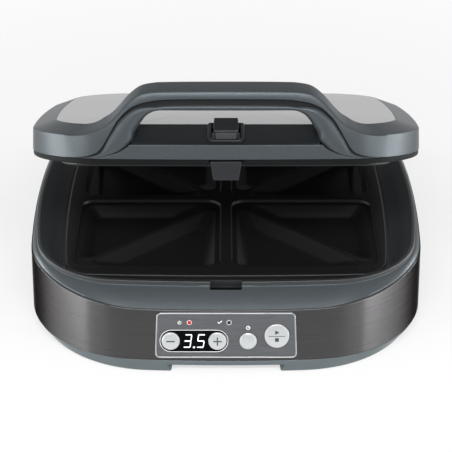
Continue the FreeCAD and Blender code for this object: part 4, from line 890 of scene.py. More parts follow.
def square_at(corners, grow_by, z):
    return flat_ring(rounded(inset_corners(corners, -grow_by), POCKET_ROUND + grow_by, 8), z)


def sink_pocket(tidy, corners):
    rows = [square_at(corners, drop, PLATE_TOP - inset) for inset, drop in quarter_round(POCKET_EDGE, 0)]
    rows += [square_at(corners, -inset, STEP_Z + drop) for inset, drop in quarter_round(POCKET_EDGE)]
    pocket_edge, step_edge = add_rings(tidy, rows)
    step_loops = [step_edge]
    a, b, c, d = inset_corners(corners, CUP_MARGIN)
    for half in ([a, b, c], [a, c, d]):
        cup = inset_corners(half, RIDGE_HALF)
        rows = [flat_ring(rounded(inset_corners(cup, inset), CUP_ROUND, 5), z) for inset, z in CUP_SIDE]
        cup_edge, cup_floor = add_rings(tidy, rows)
        step_loops.append(cup_edge)
        fill_between(tidy, [cup_floor])
    fill_between(tidy, step_loops)
    return pocket_edge


def cooking_plate(name, mirrored):
    tidy = bmesh.new()
    edge_rows = [plan(WELL, PLATE_SEAT, PLATE_INSET + PLATE_FLANGE), plan(WELL, PLATE_SEAT, PLATE_INSET),
                 plan(WELL, PLATE_TOP - PLATE_EDGE, PLATE_INSET)]
    edge_rows += [plan(WELL, PLATE_TOP - drop, PLATE_INSET + inset)
                  for inset, drop in quarter_round(PLATE_EDGE)]
    land_loops = [add_rings(tidy, edge_rows)[1]]
    for sx in (-1, 1):
        for sy in (-1, 1):
            corners = [(sx * POCKET_INNER, sy * POCKET_INNER), (sx * POCKET_X, sy * POCKET_INNER),
                       (sx * POCKET_X, sy * POCKET_Y), (sx * POCKET_INNER, sy * POCKET_Y)]
            if sx * sy < 0:
                corners = corners[:1] + corners[:0:-1]
            land_loops.append(sink_pocket(tidy, corners))
    fill_between(tidy, land_loops)
    bmesh.ops.recalc_face_normals(tidy, faces=tidy.faces)
    top = max(tidy.faces, key=lambda face: face.calc_center_median().z)
    if top.normal.z < 0:
        bmesh.ops.reverse_faces(tidy, faces=tidy.faces)
    piece = piece_from(name, tidy, PLATE_SMOOTH_DEG)
    if mirrored:
        lift = Matrix.Translation((0.0, 0.0, 2 * PLATE_TOP + PLATE_GAP))
        piece.data.transform(lift @ Matrix.Scale(-1.0, 4, (0.0, 0.0, 1.0)))
        piece.data.flip_normals()
        piece.data.transform(TURN_OPEN)
    wall = piece.modifiers.new("cast_wall", "SOLIDIFY")
    wall.thickness = CAST_WALL
    wall.offset = -1.0
    wall.use_even_offset = False
    return piece


# Sprayed non-stick coating on cast aluminium: near black, a soft shine, a fine spatter
SPATTER = 0.0011
coating = grained("sprayed_nonstick_coating", "#161617", 0.38, grain=SPATTER, detail=3.0, relief=0.16,
                  gloss=(0.32, 0.46), sockets={"Specular IOR Level": 0.35})
fit(cooking_plate("lower_cooking_plate", False), coating, "base", "nonstick_aluminium", "lower_plate")
fit(cooking_plate("upper_cooking_plate", True), coating, "lid", "nonstick_aluminium", "upper_plate")

# Control panel frame
# A thin frame of satin aluminium round the control panel, pressed into the window of the side band.
# Anodising leaves it pale and even, with a soft gloss.
TRIM_WIDTH = 0.0012
TRIM_BACK = -0.0030
TRIM_SECTION = ((0.0, TRIM_BACK), (0.0, 0.0006), (0.0001, 0.0008), (0.0004, 0.0010), (0.0008, 0.0010),
                (0.0011, 0.0008), (TRIM_WIDTH, 0.0006), (TRIM_WIDTH, TRIM_BACK))


def panel_outline(inset):
    return rounded(inset_corners(PANEL_CORNERS, inset), PANEL_ROUND - inset, 8)


panel_trim = skin("panel_frame", [on_panel(panel_outline(inset), height) for inset, height in TRIM_SECTION])
ANODISED_GRAIN = 0.0009
satin = grained("satin_anodised_aluminium", "#b4b6b8", 0.3, 1.0, grain=ANODISED_GRAIN, gloss=(0.26, 0.36))
fit(panel_trim, satin, "base", "satin_aluminium", "panel_trim")

# Panel fascia
# A plate of grey ABS with a brushed foil on its front, and holes for the buttons, lamps and display.
# The foil shows fine lines across, weaker than those of the steel.
FASCIA_FRONT, FASCIA_BACK = 0.0005, -0.0015
BUTTON_PLAY = 0.00035
BUTTONS = {"minus_button": (-0.0466, 0.0178, 0.0076), "plus_button": (-0.0072, 0.0178, 0.0076),
           "extra_button": (0.0186, 0.0178, 0.0072), "start_button": (0.0428, 0.0224, 0.0104)}
LAMPS = {"power_lamp": (-0.0308, 0.0340), "ready_lamp": (0.0026, 0.0340)}
LAMP_R = 0.00175
DISPLAY_X, DISPLAY_Y = -0.02695, 0.0178
DISPLAY_HALF = 0.0284
DISPLAY_R = 0.0093
DISPLAY_LINE = 0.00045
PILL_STEPS = 24
LAMP_HOLE_SIDES = 24
SHEET_SMOOTH_DEG = 35.0


def arc_points(x, y, radius, start, end, count):
    turns = [start + (end - start) * k / count for k in range(count + 1)]
    return [(x + radius * math.cos(turn), y + radius * math.sin(turn)) for turn in turns]


def circle(x, y, radius, count=48):
    return arc_points(x, y, radius, 0.0, 2 * math.pi, count)[:-1]


def pill(grow_by):
    radius, reach = DISPLAY_R + grow_by, DISPLAY_HALF - DISPLAY_R
    right = arc_points(DISPLAY_X + reach, DISPLAY_Y, radius, -math.pi / 2, math.pi / 2, PILL_STEPS)
    return right + arc_points(DISPLAY_X - reach, DISPLAY_Y, radius, math.pi / 2, 1.5 * math.pi, PILL_STEPS)


def holed_plate(name, outlines, back, front):
    tidy = bmesh.new()
    pairs = [add_rings(tidy, [on_panel(outline, back), on_panel(outline, front)]) for outline in outlines]
    fill_between(tidy, [high for low, high in pairs])
    fill_between(tidy, [low for low, high in pairs])
    bmesh.ops.recalc_face_normals(tidy, faces=tidy.faces)
    return piece_from(name, tidy, SHEET_SMOOTH_DEG)


button_holes = {n: circle(x, y, r + BUTTON_PLAY) for n, (x, y, r) in BUTTONS.items()}
fascia_holes = [pill(DISPLAY_LINE), button_holes["extra_button"], button_holes["start_button"]]
fascia_holes += [circle(x, y, LAMP_R, LAMP_HOLE_SIDES) for x, y in LAMPS.values()]
fascia = holed_plate("panel_fascia_plate", [panel_outline(TRIM_WIDTH)] + fascia_holes,
                     FASCIA_BACK, FASCIA_FRONT)
FOIL_LENGTH = 1.0 / 40.0
foil = grained("brushed_metallised_foil", "#5e6063", 0.4, 0.55, detail=3.0,
               stretch=(1.0 / FOIL_LENGTH, 1.0 / BRUSH_LINE, 1.0 / BRUSH_LINE),
               tones=("#55575a", "#67696c"), tone_ends=(0.3, 0.7))
fit(fascia, foil, "base", "panel_grey_plastic", "panel_fascia")

# Display
# A black acrylic window the shape of a pill, edged with a white printed line, with two white lit figures.
WINDOW_TOP = 0.0006
LINE_SECTION = ((0.0, FASCIA_BACK), (0.0, WINDOW_TOP), (0.0001, 0.0007), (0.00035, 0.0007),
                (DISPLAY_LINE, WINDOW_TOP), (DISPLAY_LINE, FASCIA_BACK))
line_rows = [on_panel(pill(grow_by), height) for grow_by, height in LINE_SECTION]
display_ring = skin("display_edge_line", line_rows)

# Screen printing ink: flat white, slightly mottled
INK_MOTTLE = 0.0008
ink = grained("white_screen_print", "#e9eaec", 0.45, grain=INK_MOTTLE, gloss=(0.4, 0.5))
fit(display_ring, ink, "base", "white_plastic", "display_ring")

# Polished acrylic over a black back: deep black, with faint traces of wiping
WIPE_TRACE = 0.01
acrylic = grained("polished_black_acrylic", "#040405", 0.12, grain=WIPE_TRACE, detail=3.0, gloss=(0.08, 0.2),
                  sockets={"Specular IOR Level": 0.06})
window = holed_plate("display_window_acrylic",
                     [pill(0.0), button_holes["minus_button"], button_holes["plus_button"]],
                     FASCIA_BACK, WINDOW_TOP)
fit(window, acrylic, "base", "black_gloss_plastic", "display_window")
finish_nodes(acrylic, "display_module")

DIGIT_TALL, DIGIT_WIDE = 0.0118, 0.0062
DIGIT_LEAN = 0.14
SEGMENT_THICK = 0.00085
SEGMENT_HEIGHT = 0.0003
SEGMENT_RAISE = 0.00062
# Place of each segment in half widths and half heights, and whether it stands upright
SEGMENTS = {"a": (0, 1, 0), "b": (1, 0.5, 1), "c": (1, -0.5, 1), "d": (0, -1, 0), "e": (-1, -0.5, 1),
            "f": (-1, 0.5, 1), "g": (0, 0, 0)}
LIT = {-0.0322: "abcdg", -0.0211: "acdfg"}
segments, given = repeat_tree("lit_segments", ("Length", "Thickness", "Height"))
half_thick = add_node(segments, "ShaderNodeMath", {0: given["Thickness"], 1: 0.5}, operation="MULTIPLY")
tip = add_node(segments, "GeometryNodeMeshCylinder", {"Vertices": 4, "Radius": half_thick.outputs[0],
                                                      "Depth": given["Height"]}).outputs["Mesh"]
straight = add_node(segments, "ShaderNodeMath", {0: given["Length"], 1: given["Thickness"]},
                    operation="SUBTRACT").outputs[0]
joined = add_node(segments, "GeometryNodeJoinGeometry")
for side in (0.5, -0.5):
    reach = add_node(segments, "ShaderNodeMath", {0: straight, 1: side}, operation="MULTIPLY").outputs[0]
    end = add_node(segments, "ShaderNodeCombineXYZ", {"X": reach}).outputs[0]
    moved = add_node(segments, "GeometryNodeTransform", {"Geometry": tip, "Translation": end})
    segments.links.new(moved.outputs[0], joined.inputs[0])
hull = add_node(segments, "GeometryNodeConvexHull", {"Geometry": joined.outputs[0]})
spread_shape(segments, given, hull.outputs[0])

# Light from white diodes behind a diffusing film: even, a little cold
FILM_GRAIN = 0.002
lit = grained("lit_white_segment", "#f4f7ff", 0.5, grain=FILM_GRAIN, gloss=(0.45, 0.55),
              sockets={"Emission Color": linear("#f2f6ff"), "Emission Strength": 0.55})
LEVEL_BAR = (0, DIGIT_WIDE - 0.0006, 0.0)
UPRIGHT_BAR = (1, DIGIT_TALL / 2 - 0.0007, math.pi / 2 - DIGIT_LEAN)
for upright, length, turn in (LEVEL_BAR, UPRIGHT_BAR):
    places = []
    for digit_x, names in LIT.items():
        for across, up, kind in (SEGMENTS[name] for name in names):
            if kind == upright:
                rise = up * (DIGIT_TALL - SEGMENT_THICK) / 2
                shift = across * (DIGIT_WIDE - SEGMENT_THICK) / 2 + DIGIT_LEAN * rise
                places.append((digit_x + shift, rise, 0.0))
    bars = grow("lit_bars_%d" % upright, segments, places,
                {"Length": length, "Thickness": SEGMENT_THICK, "Height": SEGMENT_HEIGHT,
                 "Turn": (0.0, 0.0, turn), "Finish": lit})
    bars.data.transform(PANEL_PLACE @ Matrix.Translation((0.0, DISPLAY_Y, SEGMENT_RAISE)))
    carry(bars, "base", "white_plastic")
POINT_X = -0.0270
POINT_HALF = 0.0007
POINT_LEAN = 0.0002
POINT_LOW, POINT_HIGH = DISPLAY_Y - 0.0063, DISPLAY_Y - 0.0049
POINT_FOOT = 0.0004
dot = [(POINT_X - POINT_HALF, POINT_LOW), (POINT_X + POINT_HALF, POINT_LOW),
       (POINT_X + POINT_HALF + POINT_LEAN, POINT_HIGH), (POINT_X - POINT_HALF + POINT_LEAN, POINT_HIGH)]
dot_rows = [on_panel(dot, height) for height in (POINT_FOOT, SEGMENT_RAISE + SEGMENT_HEIGHT / 2)]
fit(skin("lit_point", dot_rows, loop=False), lit, "base", "white_plastic")

# Push buttons
# Four round caps of ABS in a silver paint, domed a little, each guided in its hole and sprung by the
# switch behind it. The two at the display carry a minus and a plus sign.
BUTTON_TOP = 0.0024
CAP_SIDES = 64
# Inset and height up the side of a cap, then share of the radius and drop across its dome
CAP_EDGE = ((0.0, -0.0015), (0.0, 0.0012), (0.0001, 0.0015), (0.0004, 0.0017), (0.0008, 0.00182))
CAP_DOME = ((0.8, 0.00036), (0.7, 0.00022), (0.6, 0.00012), (0.45, 0.00004), (0.2, 0.0))

# Silver paint: pale, with fine bright flakes
SILVER_FLAKE = 0.0005
silver = grained("silver_painted_abs", "#bbbebf", 0.3, 0.4, grain=SILVER_FLAKE, tones=("#b6b9ba", "#c1c4c5"),
                 tone_ends=(0.3, 0.7))
for name, (x, y, r) in BUTTONS.items():
    rows = [on_panel(circle(x, y, r - inset, CAP_SIDES), height) for inset, height in CAP_EDGE]
    rows += [on_panel(circle(x, y, r * part, CAP_SIDES), BUTTON_TOP - drop) for part, drop in CAP_DOME]
    fit(skin(name + "_cap", rows, loop=False), silver, name, "silver_plastic", name)

# Printed signs
# Dark signs on the button caps and pale ones on the fascia, screen printed: minus, plus, start over stop,
# and marks for power, ready and the extra time, with a ring round each lamp.

# The same kind of ink in dark grey: flat, and duller than the paint of the caps
dark_ink = grained("dark_screen_print", "#33373a", 0.5, grain=INK_MOTTLE, gloss=(0.45, 0.55))
CAP_PRINT = (0.0020, 0.00243)
FASCIA_PRINT = (0.0003, 0.00056)
UPRIGHT = math.pi / 2


def bar_outline(x, y, length, width, angle=0.0):
    half, thick = length / 2, width / 2
    c, s = math.cos(angle), math.sin(angle)
    return [(x + c * u - s * v, y + s * u + c * v) for u, v in box_outline(half, -thick, thick)]


def arc_band(x, y, radius, width, start=0.0, end=2 * math.pi, count=28):
    outer = arc_points(x, y, radius + width / 2, start, end, count)
    inner = arc_points(x, y, radius - width / 2, start, end, count)
    return [(outer[k], outer[k + 1], inner[k + 1], inner[k]) for k in range(count)]


def print_signs(name, outlines, heights, finish, body, slot_name):
    points = []
    faces = []
    for outline in outlines:
        faces += skin_faces(2, len(outline), True, False, len(points))
        points += [p for height in heights for p in on_panel(outline, height)]
    fit(make_piece(name, points, faces), finish, body, slot_name)


SIGN_LONG, SIGN_THICK = 0.0072, 0.0011
PLUS_ARM, PLUS_SHIFT = 0.0030, 0.0021
x, y, _ = BUTTONS["minus_button"]
minus = [bar_outline(x, y, SIGN_LONG, SIGN_THICK)]
print_signs("minus_sign", minus, CAP_PRINT, dark_ink, "minus_button", "black_plastic")
x, y, _ = BUTTONS["plus_button"]
plus = [bar_outline(x, y, SIGN_LONG, SIGN_THICK)]
plus += [bar_outline(x, y + shift, PLUS_ARM, SIGN_THICK, UPRIGHT) for shift in (PLUS_SHIFT, -PLUS_SHIFT)]
print_signs("plus_sign", plus, CAP_PRINT, dark_ink, "plus_button", "black_plastic")
DIVIDER_LONG, DIVIDER_THICK = 0.0140, 0.0005
STOP_SIDE, STOP_DROP = 0.0032, 0.0031
ARROW = ((-0.0015, 0.0014), (0.0021, 0.0033), (-0.0015, 0.0052))
x, y, _ = BUTTONS["start_button"]
start_signs = [bar_outline(x, y, DIVIDER_LONG, DIVIDER_THICK), [(x + u, y + v) for u, v in ARROW],
               bar_outline(x, y - STOP_DROP, STOP_SIDE, STOP_SIDE)]
print_signs("start_stop_sign", start_signs, CAP_PRINT, dark_ink, "start_button", "black_plastic")

MARK_LINE = 0.0005
HAND_LINE, HAND_LONG = 0.0004, 0.0011
HAND_RAISE, HAND_SHIFT = 0.0005, 0.00045
LAMP_LINE = 0.00035
POWER_X, POWER_Y, POWER_R = -0.0390, 0.0339, 0.0013
STROKE_RAISE, STROKE_LONG = 0.0009, 0.0017
CLOCK_X, CLOCK_Y, CLOCK_R = 0.0186, 0.0293, 0.0015
TICK = ([(-0.0072, 0.0341), (-0.0067, 0.0345), (-0.0058, 0.0336), (-0.0058, 0.0328)],
        [(-0.0058, 0.0328), (-0.0058, 0.0336), (-0.0036, 0.0357), (-0.0032, 0.0352)])
marks = arc_band(POWER_X, POWER_Y, POWER_R, MARK_LINE, math.radians(-230.0), math.radians(50.0))
marks.append(bar_outline(POWER_X, POWER_Y + STROKE_RAISE, STROKE_LONG, MARK_LINE, UPRIGHT))
marks += TICK
marks += arc_band(CLOCK_X, CLOCK_Y, CLOCK_R, MARK_LINE)
marks.append(bar_outline(CLOCK_X, CLOCK_Y + HAND_RAISE, HAND_LONG, HAND_LINE, UPRIGHT))
marks.append(bar_outline(CLOCK_X + HAND_SHIFT, CLOCK_Y, HAND_LONG, HAND_LINE))
for x, y in LAMPS.values():
    marks += arc_band(x, y, LAMP_R + LAMP_LINE / 2, LAMP_LINE)
print_signs("fascia_marks", marks, FASCIA_PRINT, ink, "base", "white_plastic")

# Indicator lamps
# Two small domed lenses of cast resin: the power lamp shows red, the ready lamp is unlit.
# Cast resin is glossy, with faint swirls.
LENS_FINISHES = {"power_lamp": ("red_cast_resin", "#b01a1e", 0.1, "red_lens"),
                 "ready_lamp": ("smoked_cast_resin", "#141416", 0.0, "dark_lens")}
# Share of the radius and height up the lens
LENS_SECTION = ((0.98, -0.0015), (0.98, 0.0005), (0.92, 0.0009), (0.75, 0.0012), (0.5, 0.00145),
                (0.2, 0.00155))
LENS_SIDES = 28
RESIN_SWIRL = 0.001
for name, (x, y) in LAMPS.items():
    finish_name, colour, glow_level, slot_name = LENS_FINISHES[name]
    resin = grained(finish_name, colour, 0.18, grain=RESIN_SWIRL, gloss=(0.14, 0.24),
                    sockets={"Emission Color": linear(colour), "Emission Strength": glow_level})
    rows = [on_panel(circle(x, y, LAMP_R * part, LENS_SIDES), height) for part, height in LENS_SECTION]
    fit(skin(name + "_lens", rows, loop=False), resin, "base", slot_name, name)

# Rear cover
# A grey box moulding behind the frame that carries the hinge brackets and the cord gland,
# in the same paint as the frame.
finish_nodes(slate, "rear_cover")

# Black mouldings of the lid
# The rim that holds the upper plate and closes the lid from below, and the liner of the finger recess.
# Both are moulded in black ABS.

# ABS from a finely textured mould: deep black with next to no shine
BLACK_GRAIN = 0.0007
black_abs = grained("moulded_black_abs", "#131516", 0.42, grain=BLACK_GRAIN, relief=0.12, gloss=(0.38, 0.48),
                    sockets={"Specular IOR Level": 0.06})
finish_nodes(black_abs, "power_relay", "key_switches")

# ABS from a spark-eroded mould: the coarser texture scatters more light, so the liner looks greyer
liner = grained("spark_eroded_black_abs", "#1d2022", 0.46, grain=BLACK_GRAIN, gloss=(0.4, 0.52),
                sockets={"Specular IOR Level": 0.12})
finish_nodes(liner, "finger_recess")

LID = dict(half_width=0.169, front=-0.160, rear=0.158, side=1.384, front_r=1.328, rear_r=1.328,
           front_corner=0.068, rear_corner=0.076)
RIM_LOW = PLATE_TOP + PLATE_GAP + 0.004
RIM_TOP = RIM_LOW + 0.0045
RIM_PLAY = 0.0001
RIM_ROUND = 0.0012
RIM_SET_BACK = 0.0005
RIM_EDGE = 0.0003
RIM_INNER = PLATE_INSET + 0.005
NOTCH_HALF = 0.0145
NOTCH_FRONT, NOTCH_REAR = -0.172, -0.145
NOTCH_LOW, NOTCH_TOP = 0.060, 0.090


def turned(rings):
    return [[TURN_OPEN @ p for p in ring] for ring in rings]


rim_rows = [plan(LID, RIM_TOP - RIM_PLAY, RIM_SET_BACK + RIM_EDGE),
            plan(LID, RIM_TOP - RIM_PLAY - RIM_EDGE, RIM_SET_BACK),
            plan(LID, RIM_LOW + RIM_ROUND, RIM_SET_BACK)]
rim_rows += [plan(LID, RIM_LOW + drop, RIM_SET_BACK + inset) for inset, drop in quarter_round(RIM_ROUND)]
rim_rows += [plan(WELL, z, RIM_INNER) for z in (RIM_LOW, RIM_TOP - RIM_PLAY)]
lid_rim = skin("lid_rim_moulding", turned(rim_rows))
notch_rows = [flat_ring(box_outline(NOTCH_HALF, NOTCH_FRONT, NOTCH_REAR), z) for z in (NOTCH_LOW, NOTCH_TOP)]
cut_out(lid_rim, skin("notch_tool", turned(notch_rows), loop=False))
fit(lid_rim, black_abs, "lid", "black_plastic", "lid_rim")

# Lid frame
# The painted shell of the lid: an upright wall, a crease, and a bevel that runs up to the top panel and
# falls slightly towards the hinge. The front of the shell is taken up by the arms of the handle.
CREASE = RIM_LOW + 0.0235
CREASE_ROUND = 0.0006
BEVEL_SLOPE = 0.35
HANDLE_DEPTH = 0.020
HANDLE_END_X = 0.133
PANEL_EDGE = CREASE + BEVEL_SLOPE * HANDLE_DEPTH
LEDGE_DROP = 0.0025
LEDGE_END = 0.026
PANEL_SEAT = PANEL_EDGE - LEDGE_DROP
SHELL_WALL = 0.0028
SHELL_SECTION = [(0.0, RIM_TOP), (0.0, CREASE), (HANDLE_DEPTH, PANEL_EDGE), (HANDLE_DEPTH, PANEL_SEAT),
                 (LEDGE_END, PANEL_SEAT), (LEDGE_END, PANEL_SEAT - LEDGE_DROP),
                 (SHELL_WALL, CREASE - 0.0017), (SHELL_WALL, RIM_TOP)]
SHELL_ROUNDS = [0.0004, CREASE_ROUND, 0.0001, 0.0, 0.0, 0.0, 0.0, 0.0]
FALL = 0.0045
FALL_START = -0.14
LEAN = 0.003


def share_of(value, start, end):
    return min(1.0, max(0.0, (value - start) / (end - start)))


def fallen(ring):
    points = []
    for p in ring:
        part = share_of(p.y, FALL_START, LID["rear"]) * share_of(p.z, RIM_TOP, CREASE)
        points.append(Vector((p.x * (1.0 - LEAN * part / LID["half_width"]), p.y, p.z - FALL * part)))
    return points


lid_stations = stations_between(station_at(LID, FRONT_RIGHT, X, HANDLE_END_X),
                                station_at(LID, FRONT_LEFT, X, -HANDLE_END_X))
shell_rows = [fallen(plan(LID, z, inset, lid_stations))
              for inset, z in rounded(SHELL_SECTION, SHELL_ROUNDS, 4)]
lid_frame = skin("lid_frame_shell", turned(shell_rows), wrap=False)
fit(lid_frame, slate, "lid", "slate_plastic", "lid_frame")

# Top panel
# A pressed steel sheet with a slight crown, enamelled and let into the ledge of the shell. Its front edge
# is cut straight at the finger recess.
CROWN_RISE = 0.0022
RECESS_HALF = 0.0785
RECESS_REAR = LID["front"] + 0.0272
SHEET_PLAY = 0.00004
# Rows from the edge to the middle, as shares of the outline, with the drop of the rolled edge
SHEET_EDGE = ((1.0, 0.0003), (0.9985, 0.0001), (0.996, 0.0), (0.97, 0.0))
SHEET_ROWS = SHEET_EDGE + tuple((k / 10, 0.0) for k in range(9, 0, -1)) + ((0.02, 0.0),)
sheet_outline = plan(LID, PANEL_SEAT, HANDLE_DEPTH + SHEET_PLAY)
for p in sheet_outline:
    if abs(p.x) < RECESS_HALF:
        p.y = max(p.y, RECESS_REAR)
sheet_rows = [sheet_outline]
for part, drop in SHEET_ROWS:
    crown = PANEL_EDGE + CROWN_RISE * (1.0 - part * part) - drop
    sheet_rows.append([Vector((p.x * part, p.y * part, crown)) for p in sheet_outline])
top_panel = skin("lid_top_sheet", turned([fallen(row) for row in sheet_rows]), loop=False)

# Baked enamel, smoother than the paint of the shell: mid grey, mirroring the light behind at a low angle
sheet_paint = grained("baked_titanium_grey_enamel", "#5c5e61", 0.2, grain=FLAKE, tones=("#57595c", "#616366"),
                      gloss=(0.18, 0.23))
fit(top_panel, sheet_paint, "lid", "titanium_paint", "lid_top_panel")

# Handle
# An arch moulded in two painted halves over the front edge of the lid. Its upper face carries on the bevel,
# its front facet the wall; below a hollow joint a rounded grip turns under and runs out in a long tail.
MM = 0.001
# Across and height in millimetres on the lid's front wall, from the middle to the end of an arm:
# upper edge, upper lip of the joint, lower lip of the joint, and foot of the grip
HANDLE_ROWS = [
    ((0.0, 60.7), (0.0, 54.4), (0.0, 49.6), (0.0, 44.6)),
    ((30.0, 60.6), (30.0, 54.3), (30.0, 49.5), (30.0, 44.6)),
    ((50.0, 60.3), (49.6, 53.9), (49.3, 49.0), (48.0, 44.6)),
    ((60.0, 59.8), (59.0, 52.9), (58.5, 48.0), (57.5, 44.2)),
    ((71.6, 57.3), (68.7, 50.9), (67.3, 47.8), (64.4, 41.2)),
    ((81.6, 50.0), (78.5, 46.6), (77.0, 44.9), (69.2, 36.2)),
    ((90.5, 40.0), (87.9, 37.7), (86.9, 36.8), (75.5, 26.6)),
    ((96.0, 34.4), (92.7, 30.5), (92.0, 29.7), (78.6, 17.5)),
    ((102.0, 30.0), (97.5, 22.2), (97.0, 21.4), (88.0, 10.4)),
    ((110.0, 26.4), (104.3, 11.6), (103.4, 9.9), (101.0, 6.4)),
    ((119.0, 24.3), (112.5, 7.4), (111.8, 6.2), (111.0, 4.8)),
    ((126.0, 23.6), (122.0, 5.6), (121.6, 5.1), (121.5, 4.7)),
    ((133.0, 23.5), (133.0, 5.0), (133.0, 4.8), (133.0, 4.6)),
]
# Depth of the joint and inward turn of the grip at each of those rows
JOINT_DEPTHS = [2.5, 2.5, 2.5, 2.6, 2.7, 2.8, 2.8, 2.6, 2.2, 1.6, 0.9, 0.35, 0.05]
GRIP_TURNS = [4.0, 4.0, 4.0, 4.2, 5.0, 6.5, 7.5, 6.0, 2.5, 1.0, 0.5, 0.2, 0.05]
ROW_STEPS = 7
HANDLE_SMOOTH_DEG = 45.0
FACET_LEAN = 0.44
CREASE_TURN = 1.1
REAR_EDGE_END = 100.0
REAR_EDGE_FADE = 15.0
# Inset and drop over the upper face, with its rear edge rounded
TOP_FACE = ((19.95, 2.4), (19.6, 1.2), (18.9, 0.45), (17.6, 0.05), (16.0, 0.0), (11.0, 0.0), (6.0, 0.0))
TOP_FRONT = 1.8
CREASE_PARTS = (0.0, 0.2, 0.4, 0.6, 0.8, 1.0)
FACET_PARTS = (0.3, 0.45, 0.6, 0.75, 0.9)
# Way across a stretch, and how much of its depth is reached there
JOINT_SECTION = ((0.0, 0.04), (0.04, 0.3), (0.08, 0.62), (0.14, 0.85), (0.24, 0.96), (0.4, 1.0), (0.7, 1.0),
                 (0.95, 1.0))
GRIP_UPPER = ((0.0, 0.92), (0.017, 0.74), (0.067, 0.5), (0.146, 0.293), (0.25, 0.134), (0.37, 0.034),
              (0.5, 0.0))
GRIP_LOWER = ((0.6, 0.03), (0.7, 0.1), (0.8, 0.23), (0.88, 0.39), (0.94, 0.58), (0.98, 0.8), (1.0, 1.05))
# Inset and rise under the grip
UNDERSIDE = ((11.0, 0.0), (17.6, 0.0), (19.2, 0.4), (19.95, 1.6))
LID_ARCS = plan_arcs(LID)


# A smooth curve through values one step apart, with a value given before the first and after the last
def smooth(values, at, before, after):
    i = min(int(at), len(values) - 2)
    t = at - i
    a, b, c, d = ([before] + list(values) + [after])[i:i + 4]
    square, cube = 2 * a - 5 * b + 4 * c - d, 3 * b - a - 3 * c + d
    return 0.5 * (2 * b + (c - a) * t + square * t * t + cube * t ** 3)


def smooth_point(points, at):
    return tuple(smooth(row, at, 2 * row[0] - row[1], 2 * row[-1] - row[-2]) for row in zip(*points))


def smooth_number(values, at):
    return smooth(values, at, values[0], values[-1])


def on_wall(x, height, inset):
    (cx, cy), radius, _, end = LID_ARCS[FRONT]
    if abs(x) > radius * math.cos(end):
        (cx, cy), radius, _, _ = LID_ARCS[FRONT_RIGHT]
    angle = -math.acos(min(1.0, (abs(x) - cx) / radius))
    reach = radius - inset
    across = math.copysign(cx + reach * math.cos(angle), x)
    return Vector((across, cy + reach * math.sin(angle), RIM_LOW + height))


both_arms = [[(-x, t) for x, t in row] for row in HANDLE_ROWS[:0:-1]] + HANDLE_ROWS
handle_lines = list(zip(*both_arms))
joint_depths = JOINT_DEPTHS[:0:-1] + JOINT_DEPTHS
grip_turns = GRIP_TURNS[:0:-1] + GRIP_TURNS


def handle_ring(at):
    edge, dip, lift, under = (smooth_point(line, at) for line in handle_lines)
    depth = smooth_number(joint_depths, at)
    grip = smooth_number(grip_turns, at)
    lean = FACET_LEAN * depth
    points = []

    def put(a, b, part, inset, rise=0.0):
        x = a[0] + (b[0] - a[0]) * part
        height = a[1] + (b[1] - a[1]) * part + rise
        points.append(on_wall(x * MM, height * MM, inset * MM))

    free = share_of(abs(edge[0]), REAR_EDGE_END, REAR_EDGE_END - REAR_EDGE_FADE)
    for inset, drop in TOP_FACE:
        put(edge, edge, 0.0, inset, BEVEL_SLOPE * inset - drop * free)
    put(edge, edge, 0.0, TOP_FRONT + lean, BEVEL_SLOPE * TOP_FRONT)
    facet = math.hypot(dip[0] - edge[0], dip[1] - edge[1])
    for part in CREASE_PARTS:
        down = part * part * CREASE_TURN / facet
        turn_in = (1.0 - part) ** 2 * CREASE_TURN
        put(edge, dip, down, turn_in + lean * (1.0 - down) ** 2, BEVEL_SLOPE * turn_in)
    for part in FACET_PARTS:
        put(edge, dip, part, lean * (1.0 - part) ** 2)
    for part, reached in JOINT_SECTION:
        put(dip, lift, part, reached * depth)
    for part, reached in GRIP_UPPER:
        put(lift, under, part, reached * depth)
    for part, reached in GRIP_LOWER:
        put(lift, under, part, reached * grip)
    for inset, rise in UNDERSIDE:
        put(under, under, 0.0, inset if rise else max(inset, grip + 1.0), rise)
    return points


handle_rings = [handle_ring(k / ROW_STEPS) for k in range((len(both_arms) - 1) * ROW_STEPS + 1)]
handle = skin("arched_handle", turned(handle_rings), loop=False, smooth_deg=HANDLE_SMOOTH_DEG)
fit(handle, slate, "lid", "slate_plastic", "handle_upper", "handle_lower")

# The hollow joint between the halves gets a dull near-black finish: painted shade for the recess
joint_painted_shade = grained("joint_painted_shade_abs", "#101314", 0.5, grain=BLACK_GRAIN, gloss=(0.46, 0.56),
                   sockets={"Specular IOR Level": 0.2})
handle.data.materials.append(joint_painted_shade)
# Faces of the joint, row by row along the handle, take the painted shade
ring_count = len(handle_rings[0])
joint_start = len(TOP_FACE) + 1 + len(CREASE_PARTS) + len(FACET_PARTS)
joint_end = joint_start + len(JOINT_SECTION)
for face in handle.data.polygons[:(len(handle_rings) - 1) * ring_count]:
    if joint_start < face.index % ring_count < joint_end:
        face.material_index = 1

